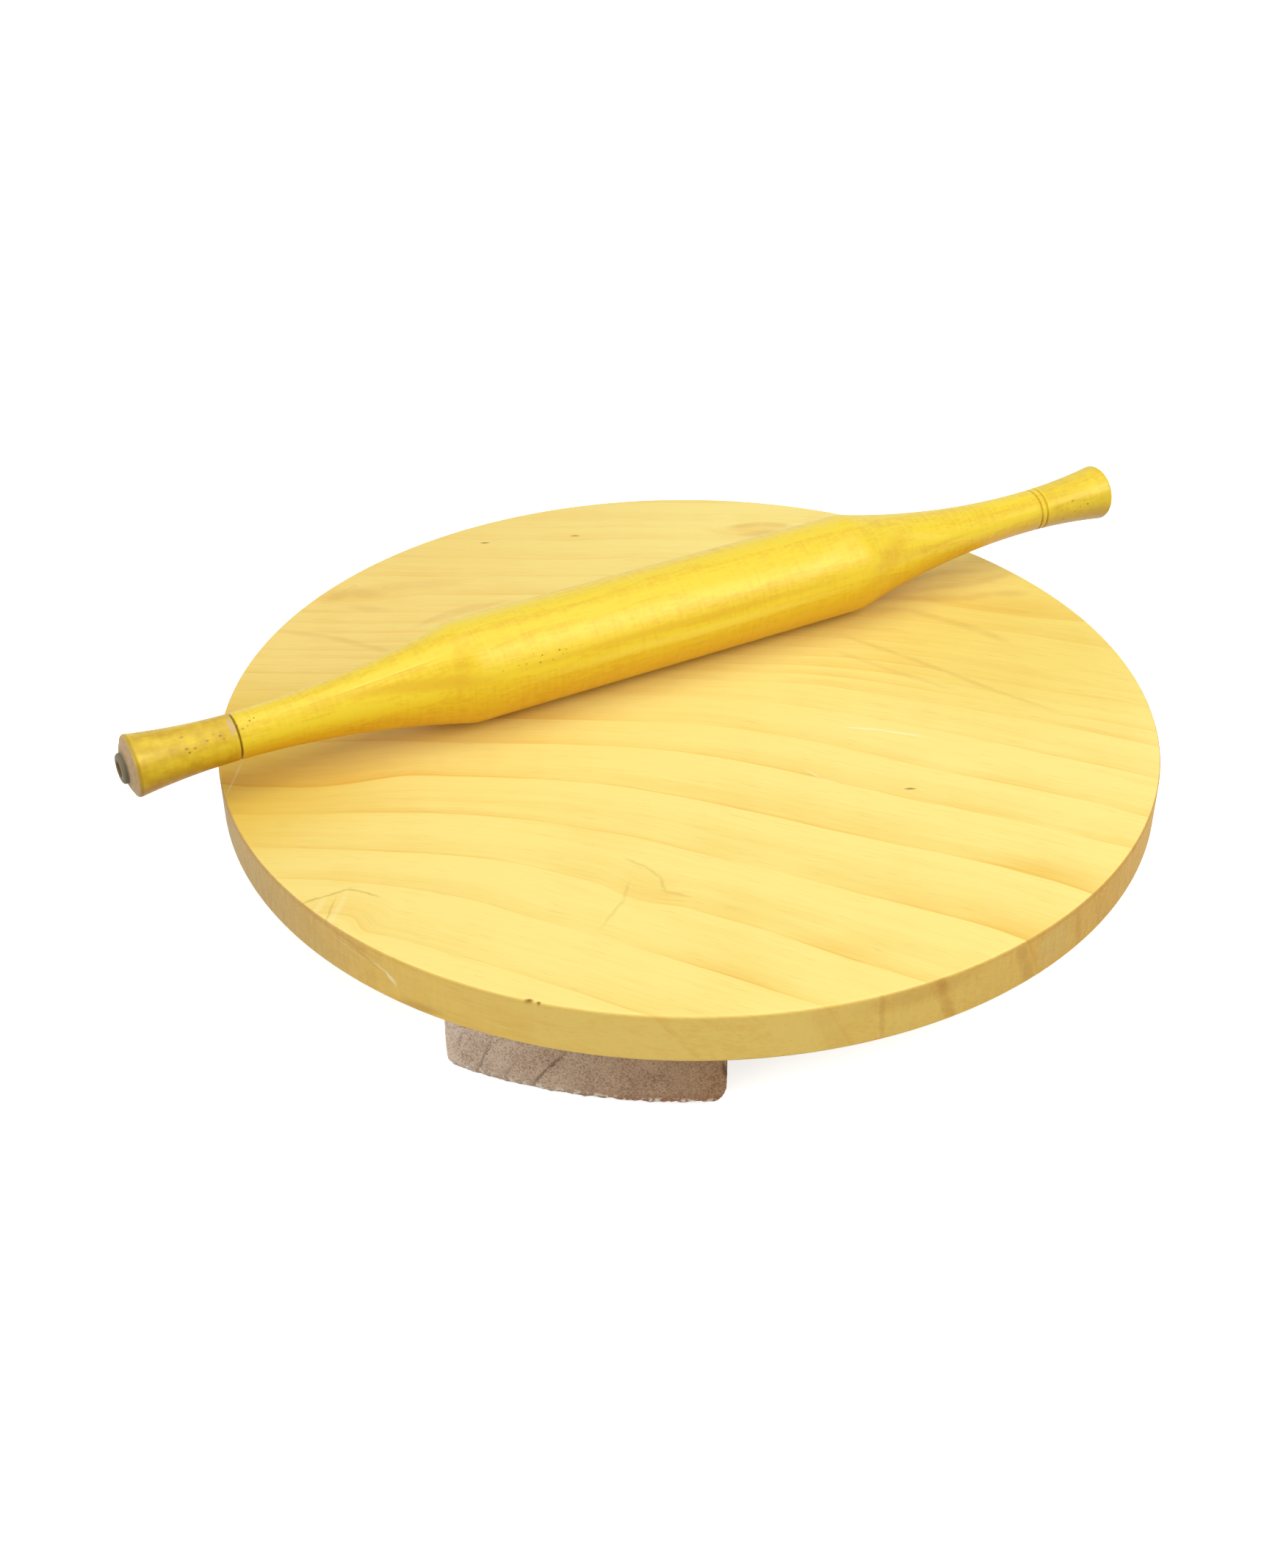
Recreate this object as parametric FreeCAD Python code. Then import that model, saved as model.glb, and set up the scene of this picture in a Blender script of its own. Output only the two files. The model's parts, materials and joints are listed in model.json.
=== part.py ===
import FreeCAD, Part
import math
import os

# A chakla: a round wooden rolling board on three feet, with the turned rolling pin that lies on it.
# Millimetres, +Z up. The origin is under the centre of the board, on the plane that the feet stand on.
# -Y is the front and +X the right. A bearing is in degrees from the front, positive towards the right.

# Board, a disc cut from one plank with both rims eased
BOARD_DIAMETER = 280.0
BOARD_THICKNESS = 15.0
BOARD_TOP_EASING = 0.8
BOARD_UNDER_EASING = 0.8

# Feet, sawn blocks whose outer face is cut round to follow the rim
FOOT_NAMES = ("front_foot", "rear_right_foot", "rear_left_foot")
FOOT_HEIGHT = 17.0
FOOT_WIDTH = 73.2
FOOT_DEPTH = 40.0
FOOT_INSET = 2.0
FOOT_LEFTWARD_SHIFT = 25.1
FOOT_LEFT_CORNER_RADIUS = 3.0
FOOT_RIGHT_CORNER_RADIUS = 6.7

# Wire nails, driven up through each foot into the board, with the head set into the underside
NAILS_PER_FOOT = 2
NAIL_SHANK_DIAMETER = 2.0
NAIL_HEAD_DIAMETER = 4.5
NAIL_HEAD_THICKNESS = 0.9
NAIL_POINT_LENGTH = 3.0
NAIL_SET_DEPTH = 2.0
NAIL_TOP_COVER = 5.0
NAIL_CLEARANCE = 0.03

# Rolling pin, one turned piece: barrel, two hollow tapers down to the necks, and two flared ends
PIN_CENTRE_X = -8.0
PIN_CENTRE_Y = 28.7
PIN_SLANT = 30.6
PIN_REST_GAP = 0.3
PIN_BARREL_DIAMETER = 31.5
PIN_BARREL_LENGTH = 137.0
PIN_SHOULDER_RADIUS = 16.0
PIN_TAPER_LENGTH = 70.5
PIN_NECK_DIAMETER = 13.7
PIN_LEFT_FLARE_LENGTH = 30.5
PIN_RIGHT_FLARE_LENGTH = 32.0
PIN_END_DIAMETER = 18.6
PIN_END_EASING = 1.0

# Marks that the lathe leaves on the pin: cut lines at the necks, a nub on one end, two centre holes
GROOVE_WIDTH = 0.9
GROOVE_DEPTH = 0.7
LEFT_GROOVES_PAST_NECK = (0.0,)
RIGHT_GROOVES_PAST_NECK = (3.9, 6.1)
NUB_DIAMETER = 9.0
NUB_HEIGHT = 2.8
CENTRE_HOLE_DIAMETER = 3.2
CENTRE_HOLE_DEPTH = 4.5

# How far a cutting shape runs past the surface that it opens, and how near counts as the same height
CUT_OVERRUN = 1.0
SAME_HEIGHT = 0.001

# Values worked out from the sizes above
BOARD_RADIUS = BOARD_DIAMETER / 2
BOARD_TOP_Z = FOOT_HEIGHT + BOARD_THICKNESS
FOOT_OUTER_RADIUS = BOARD_RADIUS - FOOT_INSET
FOOT_LEFT_X = -FOOT_LEFTWARD_SHIFT - FOOT_WIDTH / 2
FOOT_RIGHT_X = FOOT_LEFT_X + FOOT_WIDTH
FOOT_SPREAD = 360.0 / len(FOOT_NAMES)
PIN_AXIS_Z = BOARD_TOP_Z + PIN_REST_GAP + PIN_BARREL_DIAMETER / 2

ORIGIN = FreeCAD.Vector(0, 0, 0)
UP = FreeCAD.Vector(0, 0, 1)
RIGHTWARD = FreeCAD.Vector(1, 0, 0)


def on_radius(along, radius):
    """A point of a turned outline: a place along the X axis and a radius from it."""
    return FreeCAD.Vector(along, 0, radius)


def straight_edges(points):
    """The straight edges that join the points in order."""
    return [Part.LineSegment(a, b).toShape() for a, b in zip(points, points[1:])]


def turned(edges, axis):
    """The solid that a closed outline sweeps about an axis through the origin."""
    face = Part.Face(Part.Wire(Part.__sortEdges__(edges)))
    return face.revolve(ORIGIN, axis, 360)


def nail_outline(lowest_z, grow):
    """Half outline of a nail at x = 0, from lowest_z up, made larger all round by grow."""
    head_radius = NAIL_HEAD_DIAMETER / 2 + grow
    shank_radius = NAIL_SHANK_DIAMETER / 2 + grow
    head_top_z = NAIL_SET_DEPTH + NAIL_HEAD_THICKNESS
    tip_z = BOARD_TOP_Z - NAIL_TOP_COVER + grow
    outline = (
        (0, lowest_z),
        (head_radius, lowest_z),
        (head_radius, head_top_z),
        (shank_radius, head_top_z),
        (shank_radius, tip_z - NAIL_POINT_LENGTH),
        (0, tip_z),
        (0, lowest_z),
    )
    return straight_edges([FreeCAD.Vector(radius, 0, z) for radius, z in outline])


def nail_row(lowest_z, grow):
    """The nails of the front foot, or with some growth the holes that they fill.

    Each nail stands in the middle of its equal share of the foot's width.
    """
    share = FOOT_WIDTH / NAILS_PER_FOOT
    row_y = FOOT_DEPTH / 2 - FOOT_OUTER_RADIUS
    row = []
    for index in range(NAILS_PER_FOOT):
        nail = turned(nail_outline(lowest_z, grow), UP)
        nail.translate(FreeCAD.Vector(FOOT_LEFT_X + (index + 0.5) * share, row_y, 0))
        row.append(nail)
    return Part.makeCompound(row)


def turned_to(shape, bearing):
    """A copy of a shape at the front, carried round the board by a bearing."""
    copy = shape.copy()
    copy.rotate(ORIGIN, UP, bearing)
    return copy


def foot_bearings():
    """How far each foot is carried round from the front one, evenly spread."""
    return [index * FOOT_SPREAD for index in range(len(FOOT_NAMES))]


def edges_at_height(shape, height):
    """The edges of a shape that lie level at a height."""
    return [
        edge for edge in shape.Edges
        if all(abs(vertex.Z - height) < SAME_HEIGHT for vertex in edge.Vertexes)
    ]


def make_board(nail_holes):
    """The disc, eased at both rims, with the nail holes in its underside."""
    disc = Part.makeCylinder(BOARD_RADIUS, BOARD_THICKNESS, FreeCAD.Vector(0, 0, FOOT_HEIGHT))
    disc = disc.makeFillet(BOARD_TOP_EASING, edges_at_height(disc, BOARD_TOP_Z))
    disc = disc.makeFillet(BOARD_UNDER_EASING, edges_at_height(disc, FOOT_HEIGHT))
    for holes in nail_holes:
        disc = disc.cut(holes)
    return disc


def make_foot(nail_holes):
    """The front foot: a block with rounded lower corners, cut to the rim's curve and drilled."""
    left_radius, right_radius = FOOT_LEFT_CORNER_RADIUS, FOOT_RIGHT_CORNER_RADIUS
    left_slant = left_radius * (1 - math.sqrt(0.5))
    right_slant = right_radius * (1 - math.sqrt(0.5))
    back_y = FOOT_DEPTH - FOOT_OUTER_RADIUS

    def at(x, z):
        return FreeCAD.Vector(x, back_y, z)

    left_foot, left_side = at(FOOT_LEFT_X + left_radius, 0), at(FOOT_LEFT_X, left_radius)
    right_foot, right_side = at(FOOT_RIGHT_X - right_radius, 0), at(FOOT_RIGHT_X, right_radius)
    left_top, right_top = at(FOOT_LEFT_X, FOOT_HEIGHT), at(FOOT_RIGHT_X, FOOT_HEIGHT)
    outline = straight_edges([left_side, left_top, right_top, right_side])
    outline.append(Part.Arc(right_side, at(FOOT_RIGHT_X - right_slant, right_slant), right_foot).toShape())
    outline += straight_edges([right_foot, left_foot])
    outline.append(Part.Arc(left_foot, at(FOOT_LEFT_X + left_slant, left_slant), left_side).toShape())
    profile = Part.Face(Part.Wire(Part.__sortEdges__(outline)))
    block = profile.extrude(FreeCAD.Vector(0, -FOOT_DEPTH - CUT_OVERRUN, 0))
    rim_curve = Part.makeCylinder(FOOT_OUTER_RADIUS, FOOT_HEIGHT)
    return block.common(rim_curve).cut(nail_holes)


def hollow_radius(length, rise):
    """Radius of the arc that leaves level and rises by rise over length."""
    return (length ** 2 + rise ** 2) / (2 * rise)


def hollow_rise(radius, length):
    """How far an arc that leaves level has risen after length, or sunk where its radius is negative."""
    return radius - math.copysign(math.sqrt(radius ** 2 - length ** 2), radius)


def flare_rise(flare_length, past_neck):
    """How far the flare's outline stands above the neck at a distance past it."""
    neck_radius = PIN_NECK_DIAMETER / 2
    radius = hollow_radius(flare_length, PIN_END_DIAMETER / 2 - neck_radius)
    return hollow_rise(radius, past_neck)


def handle_edges(side, flare_length):
    """Outline of one handle from the barrel outwards; side is -1 for the left one, 1 for the right one."""
    barrel_radius = PIN_BARREL_DIAMETER / 2
    neck_radius = PIN_NECK_DIAMETER / 2
    shoulder_x = PIN_BARREL_LENGTH / 2
    neck_x = shoulder_x + PIN_TAPER_LENGTH
    end_x = neck_x + flare_length
    eased_x = end_x - PIN_END_EASING
    taper_radius = hollow_radius(PIN_TAPER_LENGTH, barrel_radius - neck_radius)

    def at(x, radius):
        return on_radius(side * x, radius)

    # The rounded shoulder touches the barrel's line from below and the hollow taper from outside
    drop = neck_radius + taper_radius - (barrel_radius - PIN_SHOULDER_RADIUS)
    reach = math.sqrt((taper_radius + PIN_SHOULDER_RADIUS) ** 2 - drop ** 2)
    share = taper_radius / (taper_radius + PIN_SHOULDER_RADIUS)
    round_start_x = neck_x - reach
    round_end_x = neck_x - share * reach
    round_end_radius = neck_radius + taper_radius - share * drop
    round_middle_x = (round_start_x + round_end_x) / 2
    round_middle_radius = barrel_radius - hollow_rise(PIN_SHOULDER_RADIUS, round_middle_x - round_start_x)

    taper_middle = (neck_x - round_end_x) / 2
    taper_middle_radius = neck_radius + hollow_rise(taper_radius, taper_middle)
    flare_middle = (eased_x - neck_x) / 2
    flare_middle_radius = neck_radius + flare_rise(flare_length, flare_middle)
    eased_radius = neck_radius + flare_rise(flare_length, eased_x - neck_x)
    turn = PIN_END_EASING * math.sqrt(0.5)
    face_radius = eased_radius - PIN_END_EASING

    shoulder = at(round_start_x, barrel_radius)
    taper = at(round_end_x, round_end_radius)
    neck = at(neck_x, neck_radius)
    eased_edge = at(eased_x, eased_radius)
    arcs = (
        (shoulder, at(round_middle_x, round_middle_radius), taper),
        (taper, at(neck_x - taper_middle, taper_middle_radius), neck),
        (neck, at(neck_x + flare_middle, flare_middle_radius), eased_edge),
        (eased_edge, at(eased_x + turn, face_radius + turn), at(end_x, face_radius)),
    )
    edges = [Part.Arc(*points).toShape() for points in arcs]
    return edges, shoulder, end_x, face_radius


def groove_ring(side, flare_length, past_neck):
    """A thin V-shaped ring that cuts one line round a handle, past its neck."""
    centre = PIN_BARREL_LENGTH / 2 + PIN_TAPER_LENGTH + past_neck
    surface = PIN_NECK_DIAMETER / 2 + flare_rise(flare_length, past_neck)
    half = GROOVE_WIDTH / 2
    outline = (
        (centre - half, surface + CUT_OVERRUN),
        (centre - half, surface),
        (centre, surface - GROOVE_DEPTH),
        (centre + half, surface),
        (centre + half, surface + CUT_OVERRUN),
        (centre - half, surface + CUT_OVERRUN),
    )
    return turned(straight_edges([on_radius(side * x, radius) for x, radius in outline]), RIGHTWARD)


def make_pin():
    """The rolling pin, turned about X, with its lathe marks, laid across the board."""
    left_handle, left_shoulder, left_end_x, left_face_radius = handle_edges(-1, PIN_LEFT_FLARE_LENGTH)
    right_handle, right_shoulder, right_end_x, right_face_radius = handle_edges(1, PIN_RIGHT_FLARE_LENGTH)
    nub_x = -left_end_x - NUB_HEIGHT
    hole_radius = CENTRE_HOLE_DIAMETER / 2
    left_face = straight_edges([
        on_radius(nub_x + CENTRE_HOLE_DEPTH, 0),
        on_radius(nub_x, hole_radius),
        on_radius(nub_x, NUB_DIAMETER / 2),
        on_radius(-left_end_x, NUB_DIAMETER / 2),
        on_radius(-left_end_x, left_face_radius),
    ])
    right_face = straight_edges([
        on_radius(right_end_x, right_face_radius),
        on_radius(right_end_x, hole_radius),
        on_radius(right_end_x - CENTRE_HOLE_DEPTH, 0),
    ])
    axis_line = straight_edges([
        on_radius(right_end_x - CENTRE_HOLE_DEPTH, 0),
        on_radius(nub_x + CENTRE_HOLE_DEPTH, 0),
    ])
    barrel = straight_edges([left_shoulder, right_shoulder])
    pin = turned(left_face + left_handle + barrel + right_handle + right_face + axis_line, RIGHTWARD)
    for past_neck in LEFT_GROOVES_PAST_NECK:
        pin = pin.cut(groove_ring(-1, PIN_LEFT_FLARE_LENGTH, past_neck))
    for past_neck in RIGHT_GROOVES_PAST_NECK:
        pin = pin.cut(groove_ring(1, PIN_RIGHT_FLARE_LENGTH, past_neck))
    pin.rotate(ORIGIN, UP, PIN_SLANT)
    pin.translate(FreeCAD.Vector(PIN_CENTRE_X, PIN_CENTRE_Y, PIN_AXIS_Z))
    return pin


def main():
    """Build every piece and write each node to its own file."""
    os.makedirs("parts", exist_ok=True)
    nails = nail_row(NAIL_SET_DEPTH, 0)
    holes = nail_row(-CUT_OVERRUN, NAIL_CLEARANCE)
    foot = make_foot(holes)
    nodes = {"rolling_pin": make_pin()}
    board_holes = []
    for name, bearing in zip(FOOT_NAMES, foot_bearings()):
        nodes[name] = turned_to(foot, bearing)
        nodes[name + "_nails"] = turned_to(nails, bearing)
        board_holes.append(turned_to(holes, bearing))
    nodes["board"] = make_board(board_holes)
    for name, shape in nodes.items():
        shape.exportStep("parts/" + name + ".step")
        print(name, len(shape.Solids), "solids", shape.isValid(), round(shape.Volume, 1), "mm3")


main()
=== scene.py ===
"""Looks of a round rolling board on three sawn feet, with its turned rolling pin lying across it.

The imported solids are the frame. Each piece here stands for one or more of them, in the same place.
The file is laid out as an add-on: sizes and colours are properties, each group of pieces has an
operator, and a panel in the 3D view's sidebar lists them. Run as a script, it makes them all in order.
"""

import json
import math

import bmesh
import bpy
from mathutils import Matrix, Vector, noise


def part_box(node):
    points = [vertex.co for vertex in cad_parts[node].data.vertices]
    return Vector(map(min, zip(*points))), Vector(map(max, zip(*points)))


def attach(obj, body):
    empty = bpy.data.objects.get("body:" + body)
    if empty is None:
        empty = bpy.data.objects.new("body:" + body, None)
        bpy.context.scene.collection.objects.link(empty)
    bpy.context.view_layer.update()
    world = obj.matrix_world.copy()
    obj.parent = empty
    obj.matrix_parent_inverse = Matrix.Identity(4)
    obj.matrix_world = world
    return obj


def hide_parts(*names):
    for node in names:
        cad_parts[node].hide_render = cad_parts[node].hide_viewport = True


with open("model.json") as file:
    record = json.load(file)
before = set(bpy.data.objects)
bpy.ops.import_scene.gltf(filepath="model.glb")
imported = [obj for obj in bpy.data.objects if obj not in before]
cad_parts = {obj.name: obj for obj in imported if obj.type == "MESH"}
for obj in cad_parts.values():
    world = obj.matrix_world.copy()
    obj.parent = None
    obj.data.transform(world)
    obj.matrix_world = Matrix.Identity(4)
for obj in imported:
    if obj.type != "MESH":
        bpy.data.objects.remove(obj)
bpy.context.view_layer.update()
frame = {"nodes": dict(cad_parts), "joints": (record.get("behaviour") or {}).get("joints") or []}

bl_info = {
    "name": "Chakla rolling board",
    "version": (1, 0, 0),
    "blender": (4, 5, 0),
    "location": "View3D > Sidebar > Rolling board",
    "description": "Makes a round rolling board on three sawn feet, with its turned rolling pin",
    "category": "Add Mesh",
}

MM = 0.001
BOARD_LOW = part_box("board")[0]
# The pin lies square to the line that it travels along
TRAVEL_AXIS = frame["joints"][0]["axis"]
PIN_SLANT = math.atan2(TRAVEL_AXIS[0], -TRAVEL_AXIS[1])
FOOT_NODES = ("front_foot", "rear_right_foot", "rear_left_foot")
NAIL_NODES = tuple(name + "_nails" for name in FOOT_NODES)
# The outer faces of the feet lie this many millimetres from the middle of the board
FOOT_REACH = 138


# Small helpers

# What the second word of a node's kind sets
MODES = {
    "Math": "operation", "VectorMath": "operation", "MapRange": "interpolation_type", "Mix": "blend_type",
}
# Where a Mix node takes the share, the colour below and the colour above
MIX_SOCKETS = (0, 6, 7)


def linear(hex_value):
    """Linear red, green and blue of an sRGB hex value such as F7E286."""
    channels = [int(hex_value[start:start + 2], 16) / 255 for start in (0, 2, 4)]
    return tuple(c / 12.92 if c <= 0.04045 else ((c + 0.055) / 1.055) ** 2.4 for c in channels)


def add(tree, kind, sockets=(), **settings):
    """Adds one node, by a full kind such as GeometryNodeGroup or a shader kind such as Bump or Math ADD.

    A second word is the node's mode. Sockets are given in order or by name: a node or output among them is
    linked, None leaves a socket as it is, and a colour without alpha is made opaque. Mix nodes mix colours:
    they take the share, the colour below and the colour above.
    """
    kind, _, mode = kind.partition(" ")
    made = tree.nodes.new(kind if "Node" in kind else "ShaderNode" + kind)
    if kind == "Mix":
        made.data_type = "RGBA"
        sockets = dict(zip(MIX_SOCKETS, sockets))
    if mode:
        setattr(made, MODES[kind], mode)
    for name, value in settings.items():
        setattr(made, name, value)
    for key, value in sockets.items() if isinstance(sockets, dict) else enumerate(sockets):
        if isinstance(value, bpy.types.Node):
            value = next(output for output in value.outputs if output.enabled)
        if isinstance(value, bpy.types.NodeSocket):
            tree.links.new(value, made.inputs[key])
        elif value is not None:
            no_alpha = made.inputs[key].type == "RGBA" and len(value) == 3
            made.inputs[key].default_value = (*value, 1.0) if no_alpha else value
    return made


def new_material(name):
    """An empty material and its node tree."""
    material = bpy.data.materials.new(name)
    material.use_nodes = True
    tree = material.node_tree
    tree.nodes.clear()
    return material, tree


# Geometry Nodes


def new_tree(name, inputs):
    """A Geometry Nodes tree with named inputs and one geometry output, and its two end nodes."""
    tree = bpy.data.node_groups.new(name, "GeometryNodeTree")
    for label, kind in inputs:
        tree.interface.new_socket(name=label, in_out="INPUT", socket_type="NodeSocket" + kind)
    tree.interface.new_socket(name="Geometry", in_out="OUTPUT", socket_type="NodeSocketGeometry")
    return tree, add(tree, "NodeGroupInput").outputs, add(tree, "NodeGroupOutput")


def turned_tree():
    """Turns an outline, points of distance along and radius, round the X axis.

    Tool marks are cut inwards by a noise, whose spacing is set along the axis and round it.
    """
    tree, given, result = new_tree("turned_solid", (
        ("Outline", "Geometry"), ("Divisions", "Int"), ("Mark spacing along", "Float"),
        ("Mark spacing round", "Float"), ("Mark depth", "Float"), ("Seed", "Float"),
        ("Material", "Material"),
    ))
    columns = add(tree, "Math ADD", [given["Divisions"], 1.0])
    rows = add(tree, "GeometryNodeAttributeDomainSize", [given["Outline"]]).outputs["Point Count"]
    grid = add(tree, "GeometryNodeMeshGrid", {"Vertices X": rows, "Vertices Y": columns})
    index = add(tree, "Math ADD", [add(tree, "GeometryNodeInputIndex"), 0.5])
    row = add(tree, "Math FLOOR", [add(tree, "Math DIVIDE", [index, columns])])
    column = add(tree, "Math FLOOR", [add(tree, "Math MODULO", [index, columns])])
    sampled = add(tree, "GeometryNodeSampleIndex", {
        "Geometry": given["Outline"], "Value": add(tree, "GeometryNodeInputPosition"), "Index": row,
    }, data_type="FLOAT_VECTOR", domain="POINT")
    outline = add(tree, "SeparateXYZ", [sampled.outputs["Value"]]).outputs
    part_turn = add(tree, "Math DIVIDE", [column, given["Divisions"]])
    angle = add(tree, "Math MULTIPLY", [part_turn, math.tau])
    cosine = add(tree, "Math COSINE", [angle])
    sine = add(tree, "Math SINE", [angle])
    round_scale = add(tree, "Math DIVIDE", [outline["Y"], given["Mark spacing round"]])
    place = add(tree, "CombineXYZ", [
        add(tree, "Math DIVIDE", [outline["X"], given["Mark spacing along"]]),
        add(tree, "Math MULTIPLY", [cosine, round_scale]), add(tree, "Math MULTIPLY", [sine, round_scale]),
    ])
    marks = add(tree, "TexNoise", {"Vector": place, "W": given["Seed"], "Scale": 1.0, "Detail": 2.0},
                noise_dimensions="4D")
    cut = add(tree, "Math MULTIPLY", [marks, given["Mark depth"]])
    # Near the axis the marks fade out, so that the poles stay closed
    fade = add(tree, "MapRange", [outline["Y"], 0.001, 0.005])
    cut = add(tree, "Math MULTIPLY", [cut, fade])
    radius = add(tree, "Math SUBTRACT", [outline["Y"], cut])
    position = add(tree, "CombineXYZ", [
        outline["X"], add(tree, "Math MULTIPLY", [cosine, radius]),
        add(tree, "Math MULTIPLY", [sine, radius]),
    ])
    solid = add(tree, "GeometryNodeSetPosition", {"Geometry": grid.outputs["Mesh"], "Position": position})
    solid = add(tree, "GeometryNodeMergeByDistance", {"Geometry": solid, "Distance": 0.000002})
    solid = add(tree, "GeometryNodeSetShadeSmooth", {"Geometry": solid})
    solid = add(tree, "GeometryNodeRealizeInstances", [solid])
    solid = add(tree, "GeometryNodeSetMaterial", {"Geometry": solid, "Material": given["Material"]})
    tree.links.new(solid.outputs["Geometry"], result.inputs["Geometry"])
    return tree


def nail_tree(turned):
    """Stands turned nails on rings of like pairs: each foot of the board has the same row."""
    tree, given, result = new_tree("nail_rows", (
        ("Outline", "Geometry"), ("Feet", "Int"), ("Nails per foot", "Int"), ("Row distance", "Float"),
        ("Row shift", "Float"), ("Nail spacing", "Float"), ("Seed", "Float"), ("Material", "Material"),
    ))
    nail = add(tree, "GeometryNodeGroup", node_tree=turned)
    for label, value in (("Divisions", 20), ("Mark spacing along", 0.0004), ("Mark spacing round", 0.003),
                         ("Mark depth", 0.00004)):
        nail.inputs[label].default_value = value
    for label in ("Outline", "Seed", "Material"):
        tree.links.new(given[label], nail.inputs[label])
    count = add(tree, "Math MULTIPLY", [given["Feet"], given["Nails per foot"]])
    index = add(tree, "Math ADD", [add(tree, "GeometryNodeInputIndex"), 0.5])
    foot = add(tree, "Math FLOOR", [add(tree, "Math DIVIDE", [index, given["Nails per foot"]])])
    in_row = add(tree, "Math FLOOR", [add(tree, "Math MODULO", [index, given["Nails per foot"]])])
    last = add(tree, "Math SUBTRACT", [given["Nails per foot"], 1.0])
    middle = add(tree, "Math MULTIPLY", [last, 0.5])
    steps_aside = add(tree, "Math SUBTRACT", [in_row, middle])
    aside = add(tree, "Math MULTIPLY", [steps_aside, given["Nail spacing"]])
    aside = add(tree, "Math SUBTRACT", [aside, given["Row shift"]])
    ahead = add(tree, "Math MULTIPLY", [given["Row distance"], -1.0])
    step = add(tree, "Math DIVIDE", [math.tau, given["Feet"]])
    bearing = add(tree, "Math MULTIPLY", [foot, step])
    place = add(tree, "CombineXYZ", [aside, ahead, 0.0])
    place = add(tree, "VectorRotate", {"Vector": place, "Angle": bearing}, rotation_type="Z_AXIS")
    points = add(tree, "GeometryNodePoints", {"Count": count, "Position": place})
    upright = add(tree, "FunctionNodeAxisAngleToRotation", {"Axis": (0, 1, 0), "Angle": -math.pi / 2})
    nails = add(tree, "GeometryNodeInstanceOnPoints", {
        "Points": points, "Instance": nail, "Rotation": upright})
    nails = add(tree, "GeometryNodeRealizeInstances", [nails])
    nails = add(tree, "GeometryNodeSetMaterial", {"Geometry": nails, "Material": given["Material"]})
    tree.links.new(nails.outputs["Geometry"], result.inputs["Geometry"])
    return tree


def grown(tree, points, values):
    """The plain mesh that a tree makes from a line of points, with its other inputs given by name."""
    line = bpy.data.meshes.new("outline")
    line.from_pydata(points, [(start, start + 1) for start in range(len(points) - 1)], [])
    source = bpy.data.objects.new("outline", line)
    bpy.context.scene.collection.objects.link(source)
    modifier = source.modifiers.new(tree.name, "NODES")
    modifier.node_group = tree
    for item in tree.interface.items_tree:
        if item.in_out == "INPUT" and item.name in values:
            modifier[item.identifier] = values[item.name]
    evaluated = source.evaluated_get(bpy.context.evaluated_depsgraph_get())
    mesh = bpy.data.meshes.new_from_object(evaluated)
    source.modifiers.remove(modifier)
    bpy.data.objects.remove(source)
    bpy.data.meshes.remove(line)
    return mesh


def set_piece(name, mesh, material, body, nodes):
    """Makes a mesh into a finished piece that rides on a body and stands for some nodes."""
    shape = bmesh.new()
    shape.from_mesh(mesh)
    bmesh.ops.remove_doubles(shape, verts=shape.verts, dist=0.000001)
    bmesh.ops.recalc_face_normals(shape, faces=shape.faces)
    for face in shape.faces:
        face.smooth = True
        face.material_index = 0
    shape.to_mesh(mesh)
    shape.free()
    mesh.name = name
    mesh.materials.clear()
    mesh.materials.append(material)
    piece = bpy.data.objects.new(name, mesh)
    bpy.context.scene.collection.objects.link(piece)
    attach(piece, body)
    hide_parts(*nodes)
    return piece


# Outlines


def arc(centre, radius, start, end, steps):
    """Points of an arc in the plane of an outline, from a start to an end angle in degrees."""
    points = []
    for step in range(steps + 1):
        angle = math.radians(start + (end - start) * step / steps)
        points.append((centre[0] + radius * math.cos(angle), centre[1] + radius * math.sin(angle)))
    return points


def outline_points(pairs):
    """Outline points for a tree, from distances along and radii, without points that repeat."""
    points = []
    for along, radius in pairs:
        point = (along, max(radius, 0.0), 0.0)
        if not points or (Vector(point) - Vector(points[-1])).length > 0.000005:
            points.append(point)
    return points


def board_outline(looks):
    """Half section of the board, from the middle of its underside round the rim to that of its top."""
    radius = looks.diameter / 2
    low, high, ease = looks.underside_height, looks.underside_height + looks.thickness, looks.easing
    flat = [radius * share for share in (0, 0.12, 0.3, 0.5, 0.7, 0.85, 0.95)]
    flat += [radius - 4 * ease, radius - 1.4 * ease]
    pairs = [(low, r) for r in flat]
    pairs += arc((low + ease, radius - ease), ease, 180, 90, 6)
    rows = 22
    pairs += [(low + ease + (high - low - 2 * ease) * row / rows, radius) for row in range(rows + 1)]
    pairs += arc((high - ease, radius - ease), ease, 90, 0, 6)
    pairs += [(high, r) for r in reversed(flat)]
    return outline_points(pairs)


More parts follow.
